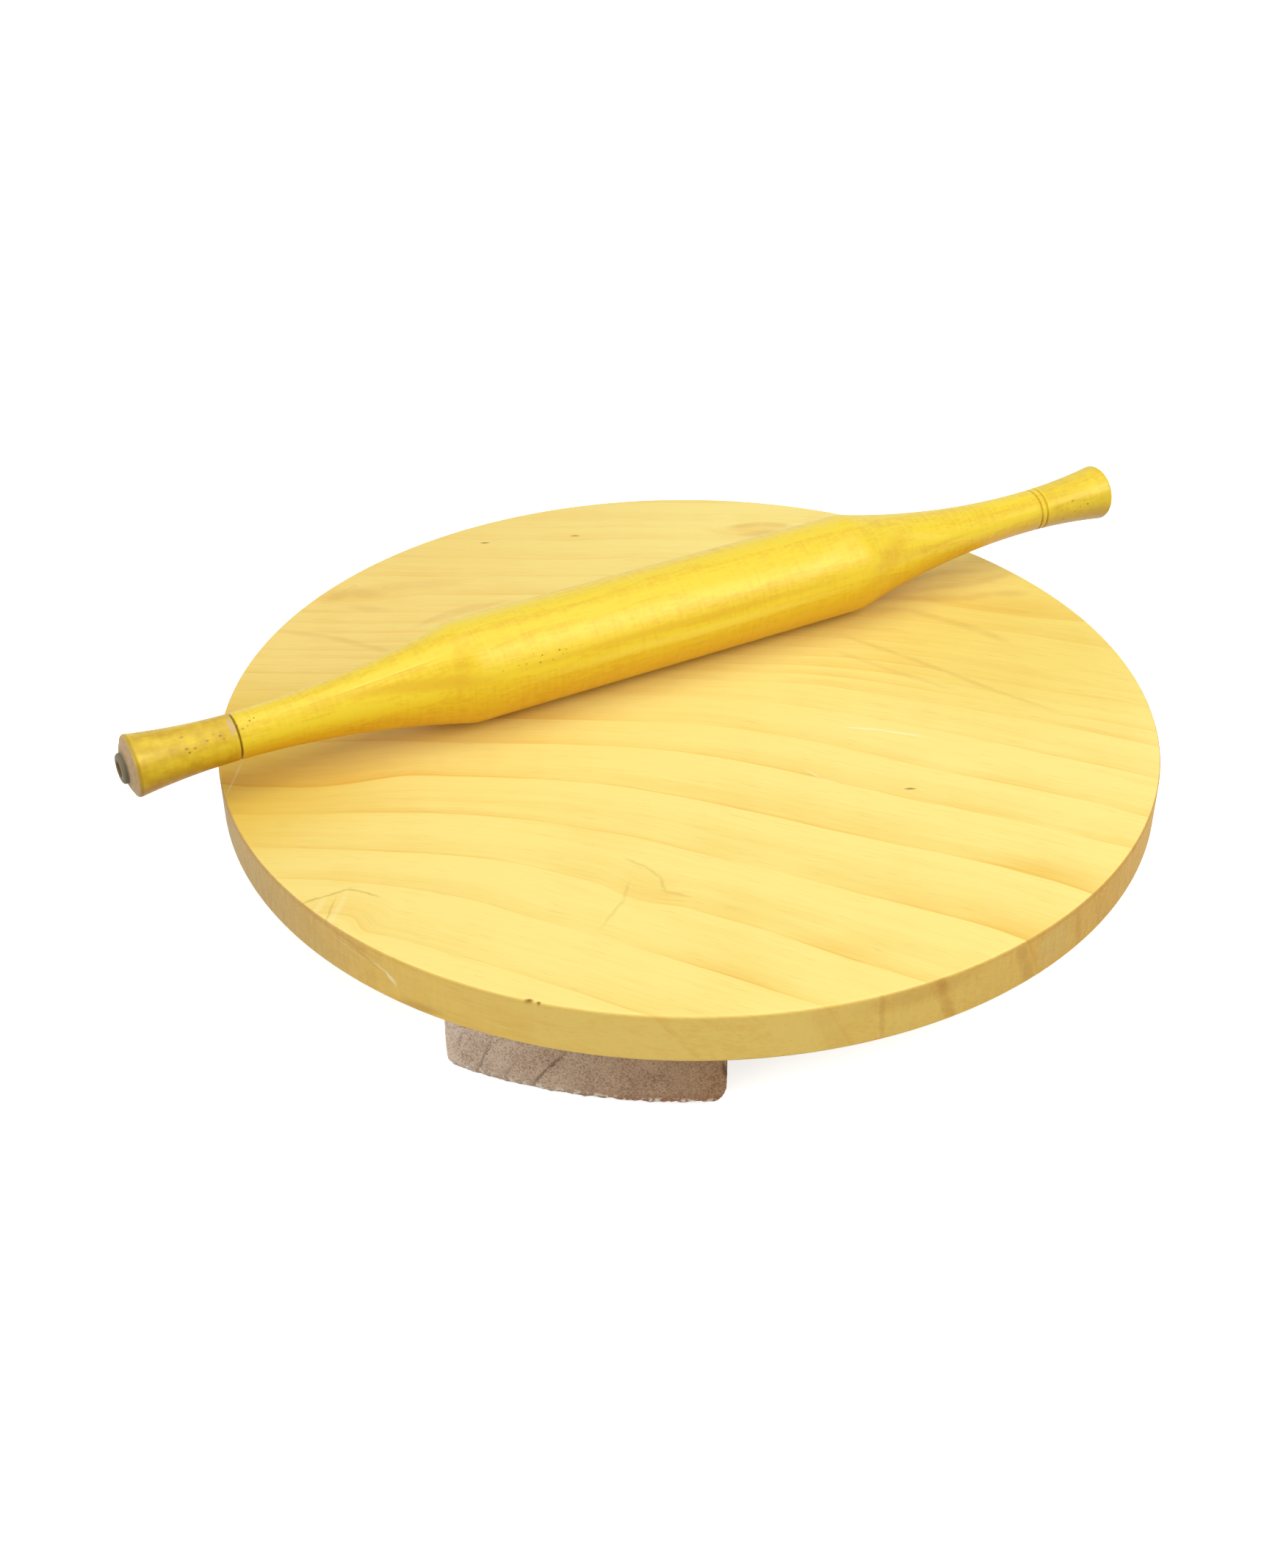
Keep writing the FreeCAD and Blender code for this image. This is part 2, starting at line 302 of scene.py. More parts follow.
def handle_radius(looks, distance, flare_length):
    """Radius of the pin at a distance from its middle, on the side whose flare has that length."""
    barrel, neck, end = looks.barrel_diameter / 2, looks.neck_diameter / 2, looks.end_diameter / 2
    neck_place = looks.barrel_length / 2 + looks.taper_length
    if distance > neck_place:
        rise = end - neck
        bow = (flare_length ** 2 + rise ** 2) / (2 * rise)
        return neck + bow - math.sqrt(bow ** 2 - (distance - neck_place) ** 2)
    rise = barrel - neck
    bow = (looks.taper_length ** 2 + rise ** 2) / (2 * rise)
    # A rounded shoulder leads from the barrel's straight line into the hollow taper
    drop = neck + bow - (barrel - looks.shoulder_radius)
    reach = math.sqrt((bow + looks.shoulder_radius) ** 2 - drop ** 2)
    share = bow / (bow + looks.shoulder_radius)
    if distance < neck_place - reach:
        return barrel
    if distance < neck_place - share * reach:
        into = distance - (neck_place - reach)
        return barrel - looks.shoulder_radius + math.sqrt(looks.shoulder_radius ** 2 - into ** 2)
    return neck + bow - math.sqrt(bow ** 2 - (neck_place - distance) ** 2)


def grooved_radius(looks, along):
    """Radius of the pin at a place along its axis, with the lines cut round its necks."""
    left = along < 0
    distance = abs(along)
    radius = handle_radius(looks, distance, looks.left_flare_length if left else looks.right_flare_length)
    neck_place = looks.barrel_length / 2 + looks.taper_length
    half = looks.groove_width / 2
    for past_neck in looks.left_grooves if left else looks.right_grooves:
        beside = abs(distance - neck_place - past_neck)
        if beside < half:
            radius -= looks.groove_depth * (1 - beside / half)
    return radius


def pin_outline(looks):
    """Half section of the pin, from the centre hole in its left end to the one in its right end."""
    neck_place = looks.barrel_length / 2 + looks.taper_length
    left_end, right_end = -neck_place - looks.left_flare_length, neck_place + looks.right_flare_length
    ease, nub_tip, nub = looks.end_easing, left_end - looks.nub_height, looks.nub_diameter / 2
    hole, hole_depth = looks.hole_diameter / 2, looks.hole_depth
    left_face = grooved_radius(looks, left_end + ease) - ease
    right_face = grooved_radius(looks, right_end - ease) - ease
    pairs = [(nub_tip + hole_depth * share, hole * (1 - share)) for share in (1, 0.75, 0.5, 0.3)]
    # The torn mouth of the nub flares, its rim is rounded, and the face round it is slightly crowned
    lip = 0.5 * MM
    pairs += arc((nub_tip + lip, looks.mouth_diameter / 2), lip, 270, 180, 4)
    pairs += arc((nub_tip + 2 * lip, nub - 2 * lip), 2 * lip, 180, 90, 6)
    crown = looks.face_crown
    foot = left_end - crown
    pairs += [(nub_tip + 2 * lip + (foot - nub_tip - 2 * lip) * share, nub) for share in (0.35, 0.7)]
    for share in (0, 0.1, 0.25, 0.45, 0.65, 0.85, 1):
        pairs.append((foot + crown * share ** 2, nub + (left_face - nub) * share))
    pairs += arc((left_end + ease, left_face), ease, 180, 90, 6)
    station = left_end + ease
    grooves = [-neck_place - past for past in looks.left_grooves]
    grooves += [neck_place + past for past in looks.right_grooves]
    while station < right_end - ease:
        pairs.append((station, grooved_radius(looks, station)))
        near = min(abs(station - groove) for groove in grooves)
        station += looks.groove_width / 8 if near < looks.groove_width else looks.station_spacing
    pairs += arc((right_end - ease, right_face), ease, 90, 0, 6)
    pairs += [(right_end, hole + (right_face - hole) * share) for share in (0.9, 0.6, 0.3)]
    pairs += arc((right_end - lip, hole + lip), lip, 0, -90, 4)
    pairs += [(right_end - hole_depth * share, hole * (1 - share)) for share in (0.25, 0.5, 0.75, 1)]
    return outline_points(pairs)


def nail_outline(looks):
    """Half section of a wire nail, from the middle of its domed head to its point."""
    head, shank, thick = looks.head_diameter / 2, looks.shank_diameter / 2, looks.head_thickness
    low, tip, point = looks.head_height, looks.tip_height, looks.point_length
    edge = thick * 0.35
    dome = thick * 0.25
    pairs = [(low + dome * share ** 2, (head - edge) * share) for share in (0, 0.2, 0.4, 0.6, 0.8, 1)]
    pairs += arc((low + dome + edge, head - edge), edge, 180, 90, 4)
    pairs += arc((low + thick - edge * 0.5, head - edge * 0.5), edge * 0.5, 90, 0, 3)
    pairs += arc((low + thick + 0.3 * MM, shank + 0.3 * MM), 0.3 * MM, 180, 270, 3)
    straight = tip - point - low - thick
    pairs += [(low + thick + straight * share, shank) for share in (0.2, 0.4, 0.6, 0.8, 1)]
    pairs += [(tip - point * 0.5, shank * 0.55), (tip, 0)]
    return outline_points(pairs)


# Woods and steel

# Half length of each part of a stroke, as a share of its run: the parts overlap, so that they blend
STROKE_OVERLAP = 1.1


def in_millimetres(tree, centre=(0, 0, 0), turn=(0, 0, 0)):
    """Object coordinates in millimetres, measured from a centre and turned with the piece."""
    coordinate = add(tree, "TexCoord").outputs["Object"]
    placed = add(tree, "Mapping", {"Vector": coordinate, "Location": centre, "Rotation": turn},
                 vector_type="TEXTURE")
    return add(tree, "VectorMath SCALE", {0: placed, "Scale": 1000.0})


def drawn_out(tree, place, waves, detail):
    """A noise drawn out by its own number of waves per millimetre along each axis."""
    mapped = add(tree, "Mapping", {"Vector": place, "Scale": waves})
    return add(tree, "TexNoise", {"Vector": mapped, "Scale": 1.0, "Detail": detail})


def from_axis(tree, place, across):
    """Distance from an axis, given the directions across it."""
    flat = add(tree, "VectorMath MULTIPLY", [place, across])
    return add(tree, "VectorMath LENGTH", [flat]).outputs["Value"]


def wobble_of(tree, pattern, reach):
    """A push to all sides, as far as half the reach, from the colour of a noise."""
    push = add(tree, "VectorMath SUBTRACT", [pattern.outputs["Color"], (0.5, 0.5, 0.5)])
    return add(tree, "VectorMath SCALE", {0: push, "Scale": reach})


def spot(tree, place, mark, depth=(0.0, 1000.0)):
    """How far a point lies inside a long spot: 1 in its middle, 0 outside.

    A mark is a place, two half sizes and a turn. Depth is the spot's height and half depth.
    """
    x, y, half_length, half_width, turn = mark
    local = add(tree, "Mapping", {
        "Vector": place, "Location": (x, y, depth[0]), "Rotation": (0, 0, math.radians(turn)),
        "Scale": (half_length, half_width, depth[1]),
    }, vector_type="TEXTURE")
    reach = add(tree, "VectorMath LENGTH", [local]).outputs["Value"]
    return add(tree, "MapRange SMOOTHSTEP", [reach, 1.0, 0.2])


def stroke(tree, place, points, half_width, depth=(0.0, 1000.0)):
    """How far a point lies inside a thin line through some points: 1 along its middle, 0 outside."""
    inside = 0.0
    for (x, y), (next_x, next_y) in zip(points, points[1:]):
        run = math.hypot(next_x - x, next_y - y)
        turn = math.degrees(math.atan2(next_y - y, next_x - x))
        mark = ((x + next_x) / 2, (y + next_y) / 2, STROKE_OVERLAP * run, half_width, turn)
        inside = add(tree, "Math MAXIMUM", [spot(tree, place, mark, depth), inside])
    return inside


def strokes(tree, place, marks, depth=(0.0, 1000.0)):
    """Several thin lines, given as points, half width and strength, laid over each other."""
    total = 0.0
    for points, half_width, strength in marks:
        inside = stroke(tree, place, points, half_width, depth)
        total = add(tree, "Math MULTIPLY_ADD", [inside, strength, total], use_clamp=True)
    return total


# Ring lines: where they cross the middle of the top, in millimetres from front to back, and their strength
RING_LINES = (
    (-176, 0.3), (-160, 0.3), (-146, 0.4), (-132, 0.3), (-118, 0.45), (-103, 0.35), (-87, 0.5), (-73, 0.6),
    (-55, 0.65), (-37, 0.82), (-20, 0.55), (-7, 0.6), (8, 0.35), (19, 0.5), (23.5, 0.5), (28, 0.45),
    (33, 0.55), (38, 0.4), (44, 0.4), (50, 0.35), (57, 0.5), (69, 0.5), (82, 0.4), (95, 0.35), (108, 0.3),
    (122, 0.3), (137, 0.3), (152, 0.3), (168, 0.3),
)
# The rings are fainter in the middle of the front: place, half length, half width and turn
FAINT_PATCH = (-20, -62, 95, 75, 0)
# The ring lines lie within this reach to either side, and lean this far for each millimetre of depth
RING_REACH = 180.0
RING_LEAN = 0.25

# Knots bend the rings round them: place, half length, half width and turn, then bend in mm and darkness
KNOTS = (
    ((22, 116, 22, 7, 4), 7.0, 0.4),
    ((-111, 67, 24, 9, 5), 6.0, 0.3),
    ((-116, -40, 40, 24, 12), 6.0, 0.08),
    ((-90, -100, 18, 12, 20), -4.0, 0.04),
    ((-10, -89, 14, 11, -30), 2.0, 0.26),
    ((104, 64, 40, 9, -12), 4.0, 0.3),
)

# Broad patches of more golden wood, partly painted warm shade where the pin shades the board and casts
# yellow light on it: place, half length, half width and turn, then strength
GOLDEN_AND_SHADED_PATCHES = (
    ((-138, -34, 66, 64, 0), 1.0),
    ((105, 40, 75, 75, 0), 0.55),
)

# Single brown lines of the figure on the top: points, half width and darkness
FIGURE = (
    (((-119, 65), (-113, 70), (-104, 68.5)), 4.5, 0.2),
    (((-109, 59.5), (-101, 58.5)), 3.0, 0.17),
    (((-105, 73), (-92, 75), (-78, 77)), 4.5, 0.1),
    (((-129, 43.5), (-115, 40.5), (-101, 34.5), (-95, 32)), 2.2, 0.15),
    (((-86, 49.5), (-78, 57), (-70, 61.5)), 2.2, 0.16),
    (((-79, 53.5), (-72, 58), (-63, 63.5)), 1.8, 0.14),
    (((20, 113), (29, 115), (38, 113)), 3.0, 0.25),
    (((16, 119), (25, 121), (34, 120)), 2.6, 0.22),
    (((62, 68.5), (76, 69), (90, 69), (100, 72.5), (110, 73)), 3.4, 0.2),
    (((69, 72.5), (82, 76.5), (95, 79), (107, 86.5)), 3.0, 0.16),
    (((71, 80), (83, 86), (96, 88)), 2.8, 0.16),
    (((60, 61), (72, 61), (82, 55.5), (94, 48), (100, 42.5)), 2.8, 0.17),
    (((53, 42), (67, 32.5), (81, 22.5), (94, 12), (107, 3.5)), 1.7, 0.17),
    (((49, 33.5), (63, 23.5), (78, 14.5)), 1.8, 0.12),
)

# Fine dark scars and specks on the top, given as the figure is
SCARS = (
    (((-15.5, -76), (-10.5, -79.5), (-6.5, -84), (-5, -90), (0.5, -92)), 0.8, 0.18),
    (((-15, -87), (-16, -94), (-20.5, -103.5)), 0.8, 0.15),
    (((-100.5, -97), (-96, -94.5), (-90, -91), (-86.5, -91.5), (-82, -93.5)), 0.55, 0.36),
    (((-92.5, -96.5), (-93.5, -105)), 0.5, 0.25),
    (((-72, 105), (-70, 105.5)), 0.8, 0.8),
    (((-41, 111), (-39, 111)), 0.8, 0.7),
    (((63, -41), (65, -41)), 0.6, 0.9),
    (((-39, -134.4), (-37.4, -134.6)), 0.55, 1.0),
    (((-35.9, -135.2), (-35.2, -135.4)), 0.5, 0.9),
)

# Pale scratches, given as the scars are
SCRATCHES = (
    (((49, -9.5), (57, -10.5), (68, -13.5)), 0.45, 0.9),
    (((35, -32.5), (38.5, -36), (42.5, -38)), 0.45, 0.4),
    (((-129.5, -33), (-130, -39.5), (-130.5, -46)), 0.5, 0.25),
    (((-90, -94.5), (-92, -104.5)), 1.4, 0.2),
    (((-95.5, -96), (-97, -102)), 1.4, 0.2),
)

# A pale gouge, dark lines, a stain and a pale patch on the rim: millimetres round from the front, and height
RIM_GOUGE = (
    (((-98, 28), (-89, 27)), 0.5, 0.2),
    (((-84.5, 27), (-81.5, 26)), 0.5, 0.4),
    (((-80.5, 25.4), (-78.3, 23.4)), 1.1, 0.7),
)
RIM_LINES = (
    (((-112, 31.3), (-101, 30.6), (-87, 29.3)), 1.2, 0.3),
    (((-91, 28.6), (-84.5, 26.3)), 0.9, 0.25),
    (((34, 31), (37, 25), (41, 17)), 5.0, 0.12),
    (((50.5, 32), (51.5, 17)), 1.2, 0.22),
    (((50, 29), (72, 29.5)), 5.0, 0.25),
    (((67, 32), (69, 25), (72, 17)), 2.4, 0.32),
    (((93, 32), (95.5, 25), (98.5, 17)), 3.2, 0.32),
    (((116, 32), (120, 17)), 1.8, 0.28),
)
RIM_STAIN = (-71, 18.5, 10, 2.6, 8)
RIM_PALE_PATCH = (107, 25, 10, 9, 0)


def board_wood(looks):
    """Plain-sawn pale hardwood under satin lacquer.

    It shows ring bands that darken slowly towards the front and stop at a line, fibres along the bands,
    browner end grain where the rim cuts across the fibres, and a few knots, scars and scratches.
    """
    material, tree = new_material("satin_lacquered_pale_hardwood")
    place = in_millimetres(tree)
    axes = add(tree, "SeparateXYZ", [place]).outputs
    radius = from_axis(tree, place, (1, 1, 0))
    edge = looks.diameter / 2 / MM
    low = looks.underside_height / MM
    high = low + looks.thickness / MM
    on_rim = add(tree, "MapRange SMOOTHSTEP", [radius, edge - 0.45, edge - 0.16])

    # The rings run level at the left and fall towards the right
    fall_start = add(tree, "Math SUBTRACT", [axes["X"], axes["Y"]])
    fall_start = add(tree, "Math SUBTRACT", [fall_start, 14.0])
    falling = add(tree, "Math SMOOTH_MAX", [fall_start, 0.0, 53.0])
    slope = add(tree, "Math MULTIPLY_ADD", [axes["Y"], -0.0004, 0.25])
    across = add(tree, "Math MULTIPLY_ADD", [falling, slope, axes["Y"]])
    # They lean as they go down through the board, which slants them on the rim
    depth = add(tree, "Math SUBTRACT", [axes["Z"], low])
    across = add(tree, "Math MULTIPLY_ADD", [depth, RING_LEAN, across])
    across = add(tree, "Math SUBTRACT", [across, RING_LEAN * looks.thickness / MM])
    # Slow waves 45 mm long in the grain, then finer ones 14 mm long
    for wave, height, seed in ((45.0, 7.0, 1.7), (14.0, 1.6, 5.1)):
        stretched = add(tree, "Mapping", {"Vector": place, "Scale": (0.45 / wave, 1 / wave, 1 / wave)})
        waves = add(tree, "TexNoise", {"Vector": stretched, "W": seed, "Scale": 1.0, "Detail": 1.0},
                    noise_dimensions="4D")
        centred = add(tree, "Math SUBTRACT", [waves, 0.5])
        across = add(tree, "Math MULTIPLY_ADD", [centred, height, across])
    knot_shade = 0.0
    for mark, bend, darkness in KNOTS:
        inside = spot(tree, place, mark)
        across = add(tree, "Math MULTIPLY_ADD", [inside, bend, across])
        knot_shade = add(tree, "Math MULTIPLY_ADD", [inside, darkness, knot_shade])

    # Ring number: each line lands on a whole number. Strength: how dark the ring is at its line
    share = add(tree, "MapRange", [across, -RING_REACH, RING_REACH])
    last = len(RING_LINES) - 1
    numbers = [number / last for number in range(last + 1)]
    curves = []
    for heights in (numbers, [strength for _, strength in RING_LINES]):
        spread = add(tree, "FloatCurve", {"Value": share})
        curve = spread.mapping.curves[0]
        for number, ((line, _), height) in enumerate(zip(RING_LINES, heights)):
            knee = ((line + RING_REACH) / (2 * RING_REACH), height)
            if number in (0, last):
                curve.points[0 if number == 0 else len(curve.points) - 1].location = knee
            else:
                curve.points.new(*knee)
        for point in curve.points:
            point.handle_type = "VECTOR"
        spread.mapping.update()
        curves.append(spread)
    in_ring = add(tree, "Math MULTIPLY", [curves[0], float(last)])
    in_ring = add(tree, "Math FRACT", [in_ring])
    # Behind its line each ring pales over 0.8 of its width, and the line itself is thin
    band = add(tree, "MapRange", [in_ring, 0.0, 0.8, 1.0, 0.0])
    band = add(tree, "Math POWER", [band, 1.5])
    line = add(tree, "MapRange SMOOTHSTEP", [in_ring, 0.0, 0.06, 0.55, 0.0])
    late = add(tree, "Math MULTIPLY_ADD", [band, 0.95, line])
    late = add(tree, "Math MULTIPLY", [late, curves[1]])
    # Lines fade in and out over about 60 mm of their length
    fading = drawn_out(tree, place, (0.016, 0.05, 0.05), 1.0)
    fading = add(tree, "MapRange", [fading, 0.32, 0.68, 0.35, 1.15])
    late = add(tree, "Math MULTIPLY", [late, fading])
    faint = add(tree, "Math MULTIPLY_ADD", [spot(tree, place, FAINT_PATCH), -0.38, 1.0])
    late = add(tree, "Math MULTIPLY", [late, faint])
    # The rim is rougher, which blurs the rings there
    contrast = add(tree, "Math MULTIPLY_ADD", [on_rim, -0.45, 1.0])
    late = add(tree, "Math MULTIPLY", [late, contrast])

    # Fibres follow the bands: streaks 3 mm and 0.8 mm wide, many times as long
    grain = add(tree, "CombineXYZ", [axes["X"], across, axes["Z"]])
    wide = drawn_out(tree, grain, (0.011, 0.33, 0.2), 3.0)
    fine = drawn_out(tree, grain, (0.06, 1.25, 1.0), 3.0)
    streaks = add(tree, "Math SUBTRACT", [wide, 0.5])
    late = add(tree, "Math MULTIPLY_ADD", [streaks, 0.65, late])
    threads = add(tree, "Math SUBTRACT", [fine, 0.5])
    thread_contrast = add(tree, "Math MULTIPLY_ADD", [on_rim, 0.5, 0.45])
    late = add(tree, "Math MULTIPLY_ADD", [threads, thread_contrast, late])
    # Soft clouds 30 mm across, where the figure shimmers
    clouds = drawn_out(tree, place, (0.05, 0.022, 0.03), 2.0)
    shimmer = add(tree, "Math SUBTRACT", [clouds, 0.5])
    late = add(tree, "Math MULTIPLY_ADD", [shimmer, 0.45, late])
    late = add(tree, "Math ADD", [late, knot_shade], use_clamp=True)
    colour = add(tree, "Mix", [late, looks.early_wood, looks.late_wood])

    # The plank is browner towards the left and the back, partly its own colour and partly painted shade,
    # and more golden in two broad patches, partly its own colour and partly painted warm shade near the pin
    warmth_and_shade = add(tree, "Math MULTIPLY", [axes["Y"], 0.35])
    warmth_and_shade = add(tree, "Math SUBTRACT", [warmth_and_shade, axes["X"]])
    warmth_and_shade = add(tree, "MapRange SMOOTHSTEP", [warmth_and_shade, 10.0, 140.0, None, 0.42])
    colour = add(tree, "Mix MULTIPLY", [warmth_and_shade, colour, looks.warm_tint_and_shade])
    # Partly golden wood, partly painted warm shade where the pin shades the board and casts yellow light on
    # it
    golden_and_shaded = 0.0
    for mark, strength in GOLDEN_AND_SHADED_PATCHES:
        golden_and_shaded = add(tree, "Math MULTIPLY_ADD", [spot(tree, place, mark), strength, golden_and_shaded])
    off_rim = add(tree, "Math SUBTRACT", [1.0, on_rim])
    golden_and_shaded = add(tree, "Math MULTIPLY", [golden_and_shaded, off_rim], use_clamp=True)
    colour = add(tree, "Mix MULTIPLY", [golden_and_shaded, colour, looks.golden_tint_and_shade])

    # Open vessels are short dark dashes along the fibres, drawn 0.4 mm wide so that they show at all
    vessels = drawn_out(tree, grain, (0.13, 2.4, 2.4), 1.0)
    vessels = add(tree, "MapRange", [vessels, 0.62, 0.78, None, 0.13])
    # Lines on the top wobble a little, and reach 1.6 mm down from it
    on_top = (high, 1.6)
    wobble = wobble_of(tree, add(tree, "TexNoise", {"Vector": place, "Scale": 0.35}), 1.2)
    wobbly = add(tree, "VectorMath ADD", [place, wobble])
    figure = strokes(tree, wobbly, FIGURE, on_top)
    colour = add(tree, "Mix", [figure, colour, looks.figure])
    shade = strokes(tree, wobbly, SCARS, on_top)
    dark = add(tree, "Math MAXIMUM", [shade, vessels])
    colour = add(tree, "Mix", [dark, colour, looks.scar])
    scratch = strokes(tree, place, SCRATCHES, on_top)
    colour = add(tree, "Mix", [scratch, colour, looks.scratch])

    # Rim: a tint along the grain, browner end grain at the right, greyer and pinker end grain at the left
    end_grain = add(tree, "Math MULTIPLY", [axes["X"], 1 / edge])
    end_grain = add(tree, "Math MULTIPLY", [end_grain, end_grain])
    pores = add(tree, "TexNoise", {"Vector": place, "Scale": 1.6, "Detail": 3.0})
    end_grain = add(tree, "Math MULTIPLY_ADD", [pores, end_grain, end_grain], use_clamp=True)
    cut = add(tree, "Mix", [end_grain, looks.rim_tint, looks.end_grain_tint])
    far_left = add(tree, "MapRange", [axes["X"], -75.0, -132.0])
    cut = add(tree, "Mix", [far_left, cut, looks.left_rim_tint])
    colour = add(tree, "Mix MULTIPLY", [on_rim, colour, cut])
    to_front = add(tree, "Math MULTIPLY", [axes["Y"], -1.0])
    bearing = add(tree, "Math ARCTAN2", [axes["X"], to_front])
    round_rim = add(tree, "Math MULTIPLY", [bearing, edge])
    unrolled = add(tree, "CombineXYZ", [round_rim, axes["Z"], 0.0])
    unrolled = add(tree, "VectorMath ADD", [unrolled, wobble])
    # Upright saw marks and torn pores show where the rim cuts the end grain
    sawn = drawn_out(tree, unrolled, (0.8, 0.12, 1.0), 3.0)
    sawn = add(tree, "MapRange", [sawn, 0.3, 0.7, 0.9, 1.07])
    torn = add(tree, "Math MULTIPLY", [on_rim, end_grain])
    colour = add(tree, "Mix MULTIPLY", [torn, colour, sawn])
    stain = add(tree, "Math MULTIPLY", [spot(tree, unrolled, RIM_STAIN), on_rim])
    stain = add(tree, "Math MULTIPLY", [stain, 0.4])
    colour = add(tree, "Mix", [stain, colour, looks.stain])
    pale = add(tree, "Math MULTIPLY", [spot(tree, unrolled, RIM_PALE_PATCH), on_rim])
    gritty = add(tree, "MapRange", [pores, 0.38, 0.62, None, 0.5])
    pale = add(tree, "Math MULTIPLY", [pale, gritty])
    colour = add(tree, "Mix", [pale, colour, looks.pale_rim])
    # A dark line where the rim's end grain meets the lacquered top, and a few across the rim
    corner = add(tree, "MapRange SMOOTHSTEP", [axes["Z"], high - 2.2, high - 0.9, None, 0.3])
    corner = add(tree, "Math MULTIPLY", [corner, end_grain])
    lines = add(tree, "Math MAXIMUM", [strokes(tree, unrolled, RIM_LINES), corner])
    lines = add(tree, "Math MULTIPLY", [lines, on_rim])
    colour = add(tree, "Mix", [lines, colour, looks.figure])
    gouge = add(tree, "Math MULTIPLY", [strokes(tree, unrolled, RIM_GOUGE), on_rim])
    colour = add(tree, "Mix", [gouge, colour, looks.scratch])
    underside = add(tree, "MapRange", [axes["Z"], low + 0.3, low])
    colour = add(tree, "Mix MULTIPLY", [underside, colour, looks.underside_tint])

    # Satin lacquer on the top, duller wood on the rim and below, and a fine relief of fibres and scars
    bare = add(tree, "Math MAXIMUM", [on_rim, underside])
    rough = add(tree, "Math MULTIPLY_ADD", [bare, 0.16, 0.42])
    rough = add(tree, "Math MULTIPLY_ADD", [threads, 0.25, rough])
    height = add(tree, "Math MULTIPLY_ADD", [dark, -0.6, fine])
    relief = add(tree, "Bump", {"Strength": 0.35, "Distance": 0.00008, "Height": height})
    shader = add(tree, "BsdfPrincipled", {
        "Base Color": colour, "Roughness": rough, "Normal": relief, "IOR": 1.48, "Specular IOR Level": 0.4,
        "Specular Tint": linear("FFF0C8"),
    })
    add(tree, "OutputMaterial", [shader])
    return material


# Marks on the pin: millimetres along it from its middle, degrees up from its front, half sizes and turn
DARK_BAND = (0, 19, 84, 7, 0)
PALE_BAND = (6, 4, 80, 9, 0)
PORE_PATCHES = ((-50, 25, 15, 9, 0), (-136, 60, 5, 18, 0), (158, 14, 10, 18, 0))
CHIPPED_LIP = (-140.3, 62, 1.3, 40, 0)
# Pits in the grips, lines along the tapers, painted shade in the shoulders and on the left taper, and a
# painted highlight at the right end of the barrel, given as points, half width and strength
PITS = (
    (((-154.7, 35.6), (-153.9, 35.6)), 4, 0.8), (((-154.1, 26.4), (-153.5, 26.4)), 4, 0.8),
    (((-152.3, 32), (-151.6, 32)), 3.5, 0.7), (((-148.5, 41), (-147.8, 41)), 3.5, 0.7),
    (((-144.6, 44), (-143.9, 44)), 4, 0.8), (((-143.7, 35), (-143.2, 35)), 3, 0.5),
    (((-155.0, 64), (-154.2, 64)), 4, 0.6), (((-146.2, 52), (-145.6, 52)), 3, 0.4),
    (((-137.9, 46), (-137.2, 46)), 4, 0.5), (((154.8, 27), (155.5, 27)), 4, 0.6),
    (((151.6, -19), (152.2, -19)), 4, 0.5), (((155.8, -3), (156.4, -3)), 4, 0.4),
)
PALE_LINES_AND_HIGHLIGHT = (
    (((-105, 60.5), (-94, 60.5), (-82, 60.5)), 2.2, 0.6),
    (((86, 50), (100, 30)), 6, 0.35),
    # A painted highlight at the right end of the barrel, where the taper begins
    (((62, 57), (46, 32)), 8, 0.35),
)
DARK_LINES_AND_SHADE = (
    (((-105, 57), (-94, 57.5), (-82, 57.5)), 1.8, 0.5),
    (((-92, 52), (-80, 51)), 1.4, 0.3),
    # Painted shade in the hollow of the right shoulder
    (((83, 52), (77.5, 25)), 8, 0.24),
    (((79, 31), (66, -10)), 8, 0.22),
    (((84, 15), (106, 20)), 7, 0.3),
    # Painted shade on the front of the left taper and in the hollow of the left shoulder
    (((-99, 44), (-71, 18)), 11, 0.5),
    (((-71, 64), (-74, 24)), 4.5, 0.2),
)


